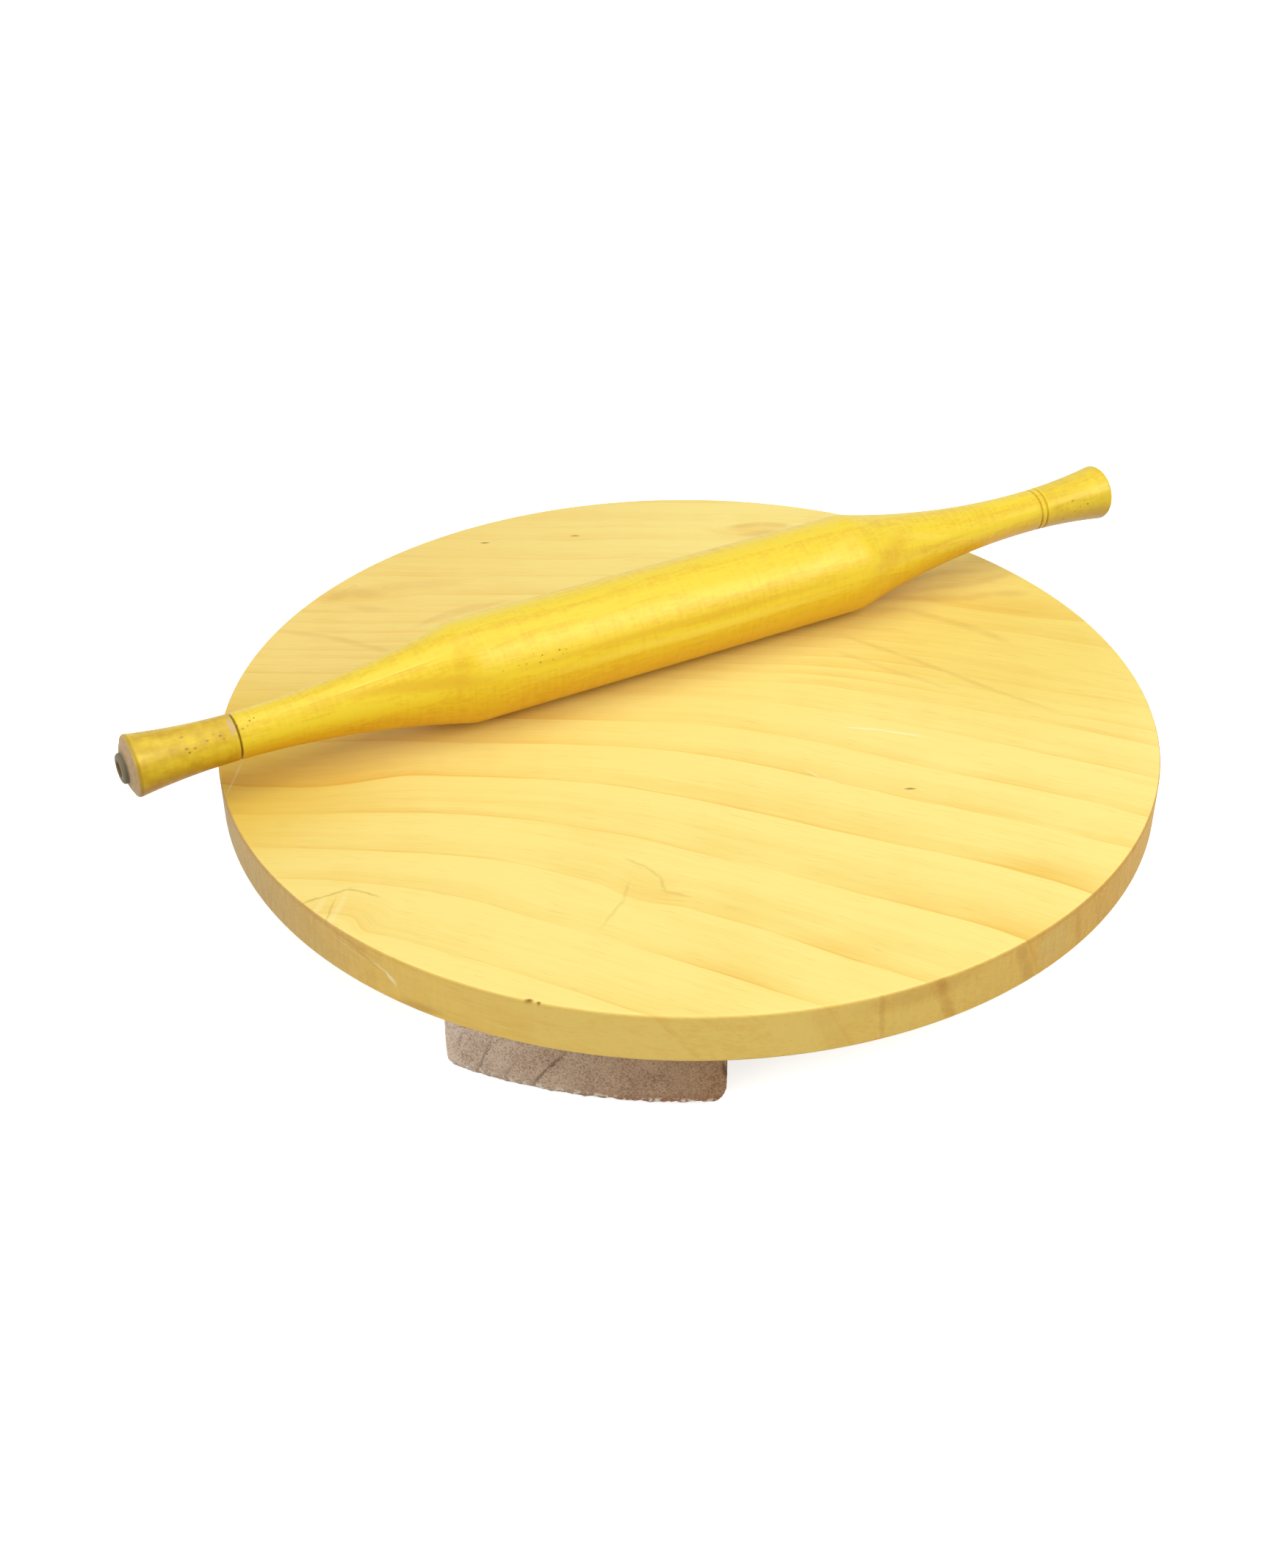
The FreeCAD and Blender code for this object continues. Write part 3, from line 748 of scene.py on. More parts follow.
def pin_wood(looks):
    """Turned hardwood under golden-yellow lacquer.

    It shows streaks along the pin, fine rings left by the turning tool, a few open pores and dark grooves,
    a handled left grip and bare end grain on the two faces. Shade is painted on its lower front, in its
    shoulders, on its left taper, in its grooves and in its centre holes, and a highlight is painted at the
    right end of the barrel.
    """
    material, tree = new_material("turned_hardwood_yellow_lacquer")
    centre = (looks.centre_x, looks.centre_y, looks.axis_height)
    place = in_millimetres(tree, centre, (0, 0, PIN_SLANT))
    axes = add(tree, "SeparateXYZ", [place]).outputs

    # Growth rings of the billet, 11 mm apart, cut by the taper into long tongues
    bent = drawn_out(tree, place, (0.012, 0.05, 0.05), 2.0)
    billet = add(tree, "Math MULTIPLY_ADD", [axes["Z"], 0.8, axes["Y"]])
    billet = add(tree, "Math MULTIPLY_ADD", [bent, 26.0, billet])
    rings = add(tree, "Math MULTIPLY", [billet, 1 / 11.0])
    rings = add(tree, "Math FRACT", [rings])
    tongues = add(tree, "MapRange SMOOTHSTEP", [rings, 0.15, 1.0])
    streaks = drawn_out(tree, place, (0.012, 0.4, 0.4), 4.0)
    # Turning marks, 1.1 mm apart along the pin and drawn out round it, broken every few millimetres
    turning = drawn_out(tree, place, (0.9, 0.12, 0.12), 2.0)
    # Fine flecks of the grain, 3 mm long and drawn 0.8 mm wide
    flecks = drawn_out(tree, place, (0.35, 1.2, 1.2), 3.0)
    late = add(tree, "Math MULTIPLY", [tongues, 0.22])
    fleck = add(tree, "Math SUBTRACT", [flecks, 0.5])
    late = add(tree, "Math MULTIPLY_ADD", [fleck, 0.9, late])
    streak = add(tree, "Math SUBTRACT", [streaks, 0.5])
    late = add(tree, "Math MULTIPLY_ADD", [streak, 0.85, late])
    rub = add(tree, "Math SUBTRACT", [turning, 0.5])
    late = add(tree, "Math MULTIPLY_ADD", [rub, 0.65, late], use_clamp=True)
    colour = add(tree, "Mix", [late, looks.light_wood, looks.dark_wood])

    # The lower front of the pin is tinted darker and deeper in colour: painted shade,
    # with the warm light that the board throws up
    sideways = add(tree, "VectorMath MULTIPLY", [place, (0, 1, 1)])
    sideways = add(tree, "VectorMath NORMALIZE", [sideways])
    painted_low_shade = add(tree, "VectorMath DOT_PRODUCT", [sideways, (0, -0.5, -0.866)])
    painted_low_shade = add(tree, "MapRange SMOOTHSTEP", [painted_low_shade.outputs["Value"], 0.25, 0.9])
    colour = add(tree, "Mix MULTIPLY", [painted_low_shade, colour, looks.warm_tint_and_shade])

    # A darker band and a paler one under it run, wandering a little, along the front of the barrel
    turn = add(tree, "Math MULTIPLY", [axes["Y"], -1.0])
    turn = add(tree, "Math ARCTAN2", [axes["Z"], turn])
    turn = add(tree, "Math MULTIPLY", [turn, 180 / math.pi])
    unrolled = add(tree, "CombineXYZ", [axes["X"], turn, 0.0])
    wander = add(tree, "Math MULTIPLY_ADD", [bent, 14.0, turn])
    wander = add(tree, "Math SUBTRACT", [wander, 7.0])
    wandering = add(tree, "CombineXYZ", [axes["X"], wander, 0.0])
    both = ((DARK_BAND, 0.4, looks.dark_wood), (PALE_BAND, 0.6, looks.pale_wood_and_highlight))
    for mark, strength, wood in both:
        inside = add(tree, "Math MULTIPLY", [spot(tree, wandering, mark), strength])
        colour = add(tree, "Mix", [inside, colour, wood])
    # Figure lines along the tapers, painted shade in the shoulders and on the left taper, and a painted
    # highlight
    for marks, wood in ((DARK_LINES_AND_SHADE, looks.dark_wood), (PALE_LINES_AND_HIGHLIGHT, looks.pale_wood_and_highlight)):
        colour = add(tree, "Mix", [strokes(tree, unrolled, marks), colour, wood])

    # Open pores: small dark dots, one here and there, in a few patches
    mapped = add(tree, "Mapping", {"Vector": place, "Scale": (0.75, 0.9, 0.9)})
    dots = add(tree, "TexVoronoi", {"Vector": mapped, "Scale": 1.0})
    dot = add(tree, "MapRange", [dots.outputs["Distance"], 0.3, 0.16])
    patch = 0.0
    for mark in PORE_PATCHES:
        patch = add(tree, "Math MAXIMUM", [spot(tree, unrolled, mark), patch])
    patch = add(tree, "Math MULTIPLY", [patch, 2.0], use_clamp=True)
    picked = add(tree, "SeparateColor", [dots.outputs["Color"]])
    some = add(tree, "MapRange", [picked, 0.5, 0.75])
    pores = add(tree, "Math MULTIPLY", [dot, patch])
    pores = add(tree, "Math MULTIPLY", [pores, some])
    pores = add(tree, "Math MAXIMUM", [pores, strokes(tree, unrolled, PITS)])
    colour = add(tree, "Mix", [pores, colour, looks.pore])

    # The left grip, past its groove, is olive with handling, and the right one is blotched by it
    neck = (looks.barrel_length / 2 + looks.taper_length) / MM
    grip = add(tree, "MapRange", [axes["X"], -neck + 0.5, -neck - 0.5])
    smudge = add(tree, "TexNoise", {"Vector": place, "Scale": 0.22, "Detail": 2.0})
    smudge = add(tree, "MapRange", [smudge, 0.35, 0.65, 0.35])
    right_grip = add(tree, "MapRange", [axes["X"], neck + 6.6, neck + 7.4, None, 0.45])
    grip = add(tree, "Math MAXIMUM", [grip, right_grip])
    grip = add(tree, "Math MULTIPLY", [grip, smudge])
    colour = add(tree, "Mix MULTIPLY", [grip, colour, looks.handled])

    # The grooves get painted shade, deep in the left one and faint in the right ones,
    # and the left one has a chipped pale lip on its outer side
    half = looks.groove_width / MM / 2
    painted_groove_shade = 0.0
    for side, grooves in ((-1, looks.left_grooves), (1, looks.right_grooves)):
        for past in grooves:
            beside = add(tree, "Math SUBTRACT", [axes["X"], side * (neck + past / MM)])
            beside = add(tree, "Math ABSOLUTE", [beside])
            inside = add(tree, "MapRange", [beside, half * 0.9, half * 0.2])
            darkness = 0.75 if side < 0 else 0.18
            painted_groove_shade = add(tree, "Math MULTIPLY_ADD", [inside, darkness, painted_groove_shade], use_clamp=True)
    chips = add(tree, "TexNoise", {"Vector": place, "Scale": 0.8, "Detail": 2.0})
    chips = add(tree, "MapRange", [chips, 0.36, 0.5])
    chips = add(tree, "Math MULTIPLY", [chips, spot(tree, unrolled, CHIPPED_LIP)])
    colour = add(tree, "Mix", [chips, colour, looks.end_grain])
    colour = add(tree, "Mix", [painted_groove_shade, colour, looks.groove])

    # Bare end grain on the faces, greyer on the nub, with painted shade in the centre holes
    left_end = -neck - looks.left_flare_length / MM
    right_end = neck + looks.right_flare_length / MM
    left_face = add(tree, "MapRange", [axes["X"], left_end + 0.45, left_end + 0.1])
    right_face = add(tree, "MapRange", [axes["X"], right_end - 0.45, right_end - 0.1])
    face = add(tree, "Math MAXIMUM", [left_face, right_face])
    worn_edge = spot(tree, unrolled, (left_end + 0.7, 0, 0.9, 1000, 0))
    worn_edge = add(tree, "Math MULTIPLY", [worn_edge, 0.5])
    colour = add(tree, "Mix", [worn_edge, colour, looks.pore])
    specks = add(tree, "TexNoise", {"Vector": place, "Scale": 0.9, "Detail": 3.0})
    bare = add(tree, "Mix", [specks, looks.end_grain, looks.end_grain_dark])
    on_nub = add(tree, "MapRange", [axes["X"], left_end - 0.9, left_end - 1.6])
    bare = add(tree, "Mix", [on_nub, bare, looks.nub])
    # Painted shade in the centre holes, out to the mouth of the nub's hole
    mouth = looks.mouth_diameter / MM / 2
    painted_hole_shade = add(tree, "MapRange", [from_axis(tree, place, (0, 1, 1)), mouth + 0.1, mouth - 0.5])
    bare = add(tree, "Mix", [painted_hole_shade, bare, looks.groove])
    colour = add(tree, "Mix", [face, colour, bare])

    # Glossy lacquer, dull bare faces, and a fine relief of turning marks, streaks and pores
    rough = add(tree, "Math MULTIPLY_ADD", [face, 0.34, 0.36])
    rough = add(tree, "Math MULTIPLY_ADD", [rub, 0.12, rough])
    height = add(tree, "Math MULTIPLY_ADD", [streaks, 0.4, turning])
    height = add(tree, "Math MULTIPLY_ADD", [pores, -1.0, height])
    relief = add(tree, "Bump", {"Strength": 0.3, "Distance": 0.00003, "Height": height})
    shader = add(tree, "BsdfPrincipled", {
        "Base Color": colour, "Roughness": rough, "Normal": relief, "IOR": 1.5, "Specular IOR Level": 0.75,
        "Specular Tint": linear("FFEEBE"),
    })
    add(tree, "OutputMaterial", [shader])
    return material


# Cracks in the front foot: millimetres to the right of the board's middle and height, half width, strength
CRACKS = (
    (((-37.5, 3), (-34.5, 8), (-31, 12.5)), 0.5, 0.6),
    (((-52.5, 3), (-49.5, 11.5)), 0.45, 0.4),
    (((-46, 1.5), (-43, 7.5)), 0.4, 0.3),
    (((-58, 8), (-57, 12)), 0.5, 0.3),
    (((10.3, 14), (11, 10.5)), 0.8, 0.8),
)


def foot_wood(looks):
    """Rough sawn pinkish end grain, bare of lacquer.

    It is gritty, with dark pits, a few cracks and a chipped lower edge.
    """
    material, tree = new_material("rough_sawn_end_grain")
    place = in_millimetres(tree)
    axes = add(tree, "SeparateXYZ", [place]).outputs
    grit = add(tree, "TexNoise", {"Vector": place, "Scale": 1.9, "Detail": 3.0, "Roughness": 0.65})
    clouds = add(tree, "TexNoise", {"Vector": place, "Scale": 0.12, "Detail": 2.0})
    tone = add(tree, "Math MULTIPLY_ADD", [clouds, 0.35, grit])
    tone = add(tree, "MapRange", [tone, 0.465, 0.77])
    colour = add(tree, "Mix", [tone, looks.dark_wood, looks.light_wood])
    # Darker towards the right: partly a stain in the wood, partly painted shade where less light reaches
    stain = add(tree, "MapRange", [axes["X"], -64.0, 10.0])
    stain = add(tree, "Math SQRT", [stain])
    colour = add(tree, "Mix MULTIPLY", [stain, colour, looks.stain])
    # Faint slanting ring lines 11 mm apart, broken by the saw
    slant = add(tree, "Math MULTIPLY_ADD", [axes["Z"], -0.9, axes["X"]])
    slant = add(tree, "Math MULTIPLY_ADD", [clouds, 9.0, slant])
    slant = add(tree, "Math MULTIPLY", [slant, 1 / 11.0])
    lines = add(tree, "Math FRACT", [slant])
    lines = add(tree, "MapRange SMOOTHSTEP", [lines, 0.12, 0.0, None, 0.3])
    upright = add(tree, "CombineXYZ", [axes["X"], axes["Z"], 0.0])
    upright = add(tree, "VectorMath ADD", [upright, wobble_of(tree, grit, 2.5)])
    lines = add(tree, "Math MULTIPLY", [lines, grit])
    lines = add(tree, "Math MAXIMUM", [lines, strokes(tree, upright, CRACKS)])
    pits = add(tree, "TexVoronoi", {"Vector": place, "Scale": 0.75})
    pit = add(tree, "MapRange", [pits.outputs["Distance"], 0.3, 0.08, None, 0.8])
    some = add(tree, "MapRange", [grit, 0.45, 0.6])
    pit = add(tree, "Math MULTIPLY", [pit, some])
    pit = add(tree, "Math MAXIMUM", [pit, lines])
    colour = add(tree, "Mix", [pit, colour, looks.pit])
    # The outer lower edge of the front foot is redder, with pale fresh chips
    low = add(tree, "MapRange", [axes["Z"], 4.4, 1.4])
    reddish = add(tree, "MapRange", [axes["X"], -32.0, -5.0, None, 0.65])
    reddish = add(tree, "Math MULTIPLY", [low, reddish])
    outer = add(tree, "MapRange", [from_axis(tree, place, (1, 1, 0)), FOOT_REACH - 4, FOOT_REACH - 2])
    in_front = add(tree, "MapRange", [axes["Y"], -60.0, -80.0])
    in_front = add(tree, "Math MULTIPLY", [in_front, outer])
    reddish = add(tree, "Math MULTIPLY", [reddish, in_front])
    colour = add(tree, "Mix", [reddish, colour, looks.lower_edge])
    chips = add(tree, "TexNoise", {"Vector": place, "Scale": 0.7, "Detail": 1.0})
    chips = add(tree, "MapRange", [chips, 0.5, 0.6])
    lowest = add(tree, "MapRange", [axes["Z"], 2.8, 1.9])
    chips = add(tree, "Math MULTIPLY", [chips, lowest])
    chips = add(tree, "Math MULTIPLY", [chips, in_front])
    colour = add(tree, "Mix", [chips, colour, looks.chip])
    height = add(tree, "Math MULTIPLY_ADD", [pit, -1.0, grit])
    relief = add(tree, "Bump", {"Strength": 0.8, "Distance": 0.0004, "Height": height})
    shader = add(tree, "BsdfPrincipled", {
        "Base Color": colour, "Roughness": 0.88, "Normal": relief, "Specular IOR Level": 0.25})
    add(tree, "OutputMaterial", [shader])
    return material


def nail_steel(looks):
    """Drawn wire steel, dulled: grey, with faint scale and drawing lines."""
    material, tree = new_material("dull_drawn_steel")
    place = in_millimetres(tree)
    scale = add(tree, "TexNoise", {"Vector": place, "Scale": 1.5, "Detail": 3.0})
    colour = add(tree, "Mix", [scale, looks.steel, looks.scale])
    rough = add(tree, "MapRange", [scale, None, None, 0.3, 0.55])
    relief = add(tree, "Bump", {"Strength": 0.3, "Distance": 0.00005, "Height": scale})
    shader = add(tree, "BsdfPrincipled", {
        "Base Color": colour, "Roughness": rough, "Normal": relief, "Metallic": 1.0})
    add(tree, "OutputMaterial", [shader])
    return material


# Properties


def amount(label, description, default, **settings):
    """A number property, with a unit or subtype where one fits."""
    return bpy.props.FloatProperty(name=label, description=description, default=default, **settings)


def length(label, description, default):
    """A length property in metres."""
    return amount(label, description, default, min=0.0, precision=5, subtype="DISTANCE", unit="LENGTH")


def lengths(label, description, default, **settings):
    """A property of several lengths in metres."""
    return bpy.props.FloatVectorProperty(name=label, description=description, default=default,
                                         size=len(default), unit="LENGTH", **settings)


def hex_colour(label, description, hex_value):
    """A colour property, given as an sRGB hex value."""
    return bpy.props.FloatVectorProperty(name=label, description=description, default=linear(hex_value),
                                         size=3, min=0.0, max=1.0, subtype="COLOR")


class BoardLooks(bpy.types.PropertyGroup):
    """Sizes and colours of the round board."""

    diameter: length("Diameter", "Across the round board", 280 * MM)
    thickness: length("Thickness", "Of the plank", 15 * MM)
    underside_height: length("Underside height", "Of the plank above the ground", BOARD_LOW.z)
    easing: length("Easing", "Radius of both edges of the rim", 0.8 * MM)
    saw_depth: length("Saw mark depth", "Of the upright marks on the rim", 0.05 * MM)
    early_wood: hex_colour("Early wood", "Pale part of each ring", "F9E385")
    late_wood: hex_colour("Late wood", "Dark part of each ring", "EDC257")
    # Partly the wood's own colour, partly painted shade, towards the left and back
    warm_tint_and_shade: hex_colour("Heart wood", "Tint towards the left and back", "F0D8BE")
    # Partly golden wood, partly painted warm shade near the pin
    golden_tint_and_shade: hex_colour("Golden wood", "Tint of the two broad patches", "F1E6A6")
    rim_tint: hex_colour("Rim tint", "Of the sawn rim along the grain", "FFF0DC")
    end_grain_tint: hex_colour("End grain tint", "Of the rim across the grain", "E0C298")
    left_rim_tint: hex_colour("Left rim tint", "Of the greyer end grain at the far left", "CBC8F6")
    stain: hex_colour("Stain", "Low on the rim", "B5833F")
    pale_rim: hex_colour("Pale rim", "Bleached patch of the rim at the right", "D6C284")
    underside_tint: hex_colour("Underside tint", "Of the sanded underside", "EBDCC8")
    figure: hex_colour("Figure", "Single brown lines of the figure", "BA7A2C")
    scar: hex_colour("Scar", "Dark scars and specks", "906A2C")
    scratch: hex_colour("Scratch", "Pale scratches", "FFF3C4")


class PinLooks(bpy.types.PropertyGroup):
    """Sizes and colours of the rolling pin."""

    centre_x: amount("Middle, X", "Of the barrel", -8 * MM, unit="LENGTH")
    centre_y: amount("Middle, Y", "Of the barrel", 28.7 * MM, unit="LENGTH")
    axis_height: length("Axis height", "Of the pin above the ground", 48.05 * MM)
    barrel_diameter: length("Barrel diameter", "Of the straight middle", 31.5 * MM)
    barrel_length: length("Barrel length", "Between the shoulders", 137 * MM)
    shoulder_radius: length("Shoulder radius", "Where the barrel turns into the taper", 16 * MM)
    taper_length: length("Taper length", "From shoulder to neck", 70.5 * MM)
    neck_diameter: length("Neck diameter", "The thinnest place of each handle", 13.7 * MM)
    end_diameter: length("End diameter", "Of the flared ends", 18.55 * MM)
    left_flare_length: length("Left flare length", "From the neck to the left end", 30.5 * MM)
    right_flare_length: length("Right flare length", "From the neck to the right end", 32 * MM)
    end_easing: length("End easing", "Radius of the edge of each end", 1 * MM)
    groove_width: length("Groove width", "Of the lines cut round the necks", 0.9 * MM)
    groove_depth: length("Groove depth", "Of the lines cut round the necks", 0.7 * MM)
    left_grooves: lengths("Left grooves", "Places past the left neck", (0.0,))
    right_grooves: lengths("Right grooves", "Places past the right neck", (3.9 * MM, 6.1 * MM))
    nub_diameter: length("Nub diameter", "Of the stub left on the left end", 9 * MM)
    nub_height: length("Nub height", "Of the stub left on the left end", 2.8 * MM)
    face_crown: length("Face crown", "How far the left face bulges at its nub", 1.2 * MM)
    hole_diameter: length("Hole diameter", "Of the centre holes", 3.2 * MM)
    hole_depth: length("Hole depth", "Of the centre holes", 4.5 * MM)
    mouth_diameter: length("Mouth diameter", "Of the torn mouth of the nub's hole", 5.4 * MM)
    station_spacing: length("Station spacing", "Between the rings of the mesh", 0.85 * MM)
    mark_depth: length("Tool mark depth", "Of the turning marks", 0.03 * MM)
    light_wood: hex_colour("Light wood", "Under the lacquer", "F0D22C")
    # Also the pale band along the barrel, pale lines on the tapers and the painted highlight at the barrel's
    # right end
    pale_wood_and_highlight: hex_colour("Pale wood", "Streak under the heart streak", "F8DF55")
    # Painted shade: the darker, deeper tint of the pin's lower front
    warm_tint_and_shade: hex_colour("Heart wood", "Tint of the lower front", "EFDAAE")
    handled: hex_colour("Handled", "Tint of the grips", "DED08E")
    dark_wood: hex_colour("Dark wood", "Streaks and tongues", "D9A014")
    pore: hex_colour("Pore", "Open pores", "8A6414")
    # Painted shade in the grooves and in the centre holes
    groove: hex_colour("Groove", "Dirt in the grooves", "62461A")
    end_grain: hex_colour("End grain", "Of the bare faces", "CBAB82")
    end_grain_dark: hex_colour("End grain, dark", "Specks on the bare faces", "9C8062")
    nub: hex_colour("Nub", "Greyed wood of the nub", "6F6855")


class FootLooks(bpy.types.PropertyGroup):
    """Sizes and colours of the feet."""

    voxel: length("Mesh fineness", "Size of the mesh's faces", 0.6 * MM)
    roughness: length("Roughness", "Depth of the torn grain", 0.35 * MM)
    chip_height: length("Chip height", "Of the splintered lower edge", 1.9 * MM)
    light_wood: hex_colour("Light wood", "Sawn end grain", "FFECD8")
    dark_wood: hex_colour("Dark wood", "Torn end grain", "BC9C86")
    # Partly a stain in the wood, partly painted shade towards the right of the foot
    stain: hex_colour("Stain", "Tint towards the right", "C0A88C")
    pit: hex_colour("Pit", "Pits and cracks", "5E432E")
    lower_edge: hex_colour("Lower edge", "Redder wood low on the foot", "A06040")
    chip: hex_colour("Chip", "Fresh chips on the lower edge", "EFE2CC")


class NailLooks(bpy.types.PropertyGroup):
    """Sizes and colours of the nails."""

    shank_diameter: length("Shank diameter", "Of the wire", 2 * MM)
    head_diameter: length("Head diameter", "Of the flat head", 4.5 * MM)
    head_thickness: length("Head thickness", "Of the flat head", 0.9 * MM)
    head_height: length("Head height", "Of the head above the ground", 2 * MM)
    tip_height: length("Tip height", "Of the point above the ground", 27 * MM)
    point_length: length("Point length", "Of the tapered point", 3 * MM)
    row_distance: length("Row distance", "From the middle of the board to the row", 118 * MM)
    row_shift: length("Row shift", "How far the row's middle lies to the left", 25.1 * MM)
    spacing: length("Spacing", "Between the nails of a foot", 36.6 * MM)
    steel: hex_colour("Steel", "Drawn wire", "8C8983")
    scale: hex_colour("Scale", "Dull patches", "5F5A52")


class StageLooks(bpy.types.PropertyGroup):
    """Light, floor and camera."""

    floor: hex_colour("Floor", "Plain pale floor, as it lights the object", "B8B8B6")
    fill: amount("Fill", "Light from all round", 0.27)
    overhead: amount("Overhead", "Watts of the large lamp above", 16.7)
    right: amount("Right", "Watts of the tall lamp at the right", 5.4)
    left: amount("Left", "Watts of the lamp at the front left", 8.3)
    focal_length: amount("Focal length", "Of the lens", 45.926, unit="CAMERA")
    camera_place: lengths("Camera place", "Where the lens is", (0.0014, -0.51013, 0.35841), subtype="XYZ")
    camera_yaw: amount("Camera yaw", "Turn to the right", math.radians(-1.8608), subtype="ANGLE")
    camera_pitch: amount("Camera pitch", "Tilt down", math.radians(34.7684), subtype="ANGLE")
    camera_roll: amount("Camera roll", "Turn about the view", math.radians(-0.4279), subtype="ANGLE")


# Operators


class CHAKLA_OT_board(bpy.types.Operator):
    """Makes the round board"""

    bl_idname = "chakla.board"
    bl_label = "Board"

    def execute(self, context):
        looks = context.scene.chakla_board
        wood = board_wood(looks)
        mesh = grown(turned_tree(), board_outline(looks), {
            "Divisions": 720, "Mark spacing along": 0.03, "Mark spacing round": 0.0012,
            "Mark depth": looks.saw_depth, "Seed": 3.0, "Material": wood,
        })
        mesh.transform(Matrix.Rotation(-math.pi / 2, 4, "Y"))
        set_piece("round_board", mesh, wood, "board", ["board"])
        return {"FINISHED"}


class CHAKLA_OT_pin(bpy.types.Operator):
    """Makes the rolling pin"""

    bl_idname = "chakla.pin"
    bl_label = "Rolling pin"

    def execute(self, context):
        looks = context.scene.chakla_pin
        wood = pin_wood(looks)
        mesh = grown(turned_tree(), pin_outline(looks), {
            "Divisions": 144, "Mark spacing along": 0.0016, "Mark spacing round": 0.03,
            "Mark depth": looks.mark_depth, "Seed": 7.0, "Material": wood,
        })
        place = Matrix.Translation((looks.centre_x, looks.centre_y, looks.axis_height))
        mesh.transform(place @ Matrix.Rotation(PIN_SLANT, 4, "Z"))
        set_piece("turned_rolling_pin", mesh, wood, "rolling_pin", ["rolling_pin"])
        return {"FINISHED"}


def torn_foot(node, looks, chipped):
    """A fine mesh of a foot's solid, torn inwards as a rough saw leaves it."""
    shape = bmesh.new()
    shape.from_mesh(frame["nodes"][node].data)
    bmesh.ops.remove_doubles(shape, verts=shape.verts, dist=0.000002)
    merged = bpy.data.meshes.new(node + "_copy")
    shape.to_mesh(merged)
    shape.free()
    source = bpy.data.objects.new(node + "_copy", merged)
    bpy.context.scene.collection.objects.link(source)
    remesh = source.modifiers.new("fine", "REMESH")
    remesh.mode = "VOXEL"
    remesh.voxel_size = looks.voxel
    evaluated = source.evaluated_get(bpy.context.evaluated_depsgraph_get())
    mesh = bpy.data.meshes.new_from_object(evaluated)
    bpy.data.objects.remove(source)
    bpy.data.meshes.remove(merged)
    low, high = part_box(node)
    places = [vertex.co.copy() for vertex in mesh.vertices]
    normals = [vertex.normal.copy() for vertex in mesh.vertices]
    for vertex, place, normal in zip(mesh.vertices, places, normals):
        # The top stays flat, where it meets the board
        if normal.z > 0.6 and place.z > high.z - MM:
            continue
        # Torn grain 4.5 mm and 1.3 mm across, with deeper pits here and there
        coarse = 0.5 + 0.5 * noise.noise(place / (4.5 * MM))
        fine = 0.5 + 0.5 * noise.noise(place / (1.3 * MM) + Vector((11, 3, 7)))
        depth = looks.roughness * (0.45 * coarse + 0.55 * fine)
        pit = noise.noise(place / (2.4 * MM) + Vector((5, 17, 2)))
        if pit > 0.45:
            depth += 0.5 * MM * (pit - 0.45) / 0.55
        moved = place - normal * depth
        # Splinters are off the outer lower edge, 5 mm deep and higher towards the right
        if chipped:
            radius = math.hypot(place.x, place.y)
            inward = max(0.0, FOOT_REACH * MM - radius) / (5 * MM)
            if inward < 1:
                ragged = noise.noise(Vector((place.x / (3.2 * MM), place.y / (3.2 * MM), 4.0)))
                ragged += 0.6 * noise.noise(Vector((place.x / (1.1 * MM), place.y / (1.1 * MM), 9.0)))
                to_right = min(1.0, max(0.0, (place.x + 0.05) / 0.07))
                rise = 0.2 + 0.8 * to_right + (0.2 + 0.3 * to_right) * ragged
                moved.z = max(moved.z, looks.chip_height * max(0.0, rise) * (1 - inward))
        moved.z = min(max(moved.z, low.z), high.z)
        vertex.co = moved
    return mesh


class CHAKLA_OT_feet(bpy.types.Operator):
    """Makes the three sawn feet"""

    bl_idname = "chakla.feet"
    bl_label = "Feet"

    def execute(self, context):
        looks = context.scene.chakla_foot
        wood = foot_wood(looks)
        for node in FOOT_NODES:
            mesh = torn_foot(node, looks, node == FOOT_NODES[0])
            set_piece("sawn_" + node, mesh, wood, "board", [node])
        return {"FINISHED"}


class CHAKLA_OT_nails(bpy.types.Operator):
    """Makes the nails that hold the feet"""

    bl_idname = "chakla.nails"
    bl_label = "Nails"

    def execute(self, context):
        looks = context.scene.chakla_nail
        steel = nail_steel(looks)
        mesh = grown(nail_tree(turned_tree()), nail_outline(looks), {
            "Feet": len(FOOT_NODES), "Nails per foot": 2, "Row distance": looks.row_distance,
            "Row shift": looks.row_shift, "Nail spacing": looks.spacing, "Seed": 2.0, "Material": steel,
        })
        set_piece("wire_nails", mesh, steel, "board", NAIL_NODES)
        return {"FINISHED"}


def seen_directly(tree):
    """The kinds of rays, and 1 for rays that see a thing straight, mirrored or through glass, else 0."""
    path = add(tree, "LightPath").outputs
    seen = add(tree, "Math MAXIMUM", [path["Is Camera Ray"], path["Is Glossy Ray"]])
    return path, add(tree, "Math MAXIMUM", [seen, path["Is Transmission Ray"]])


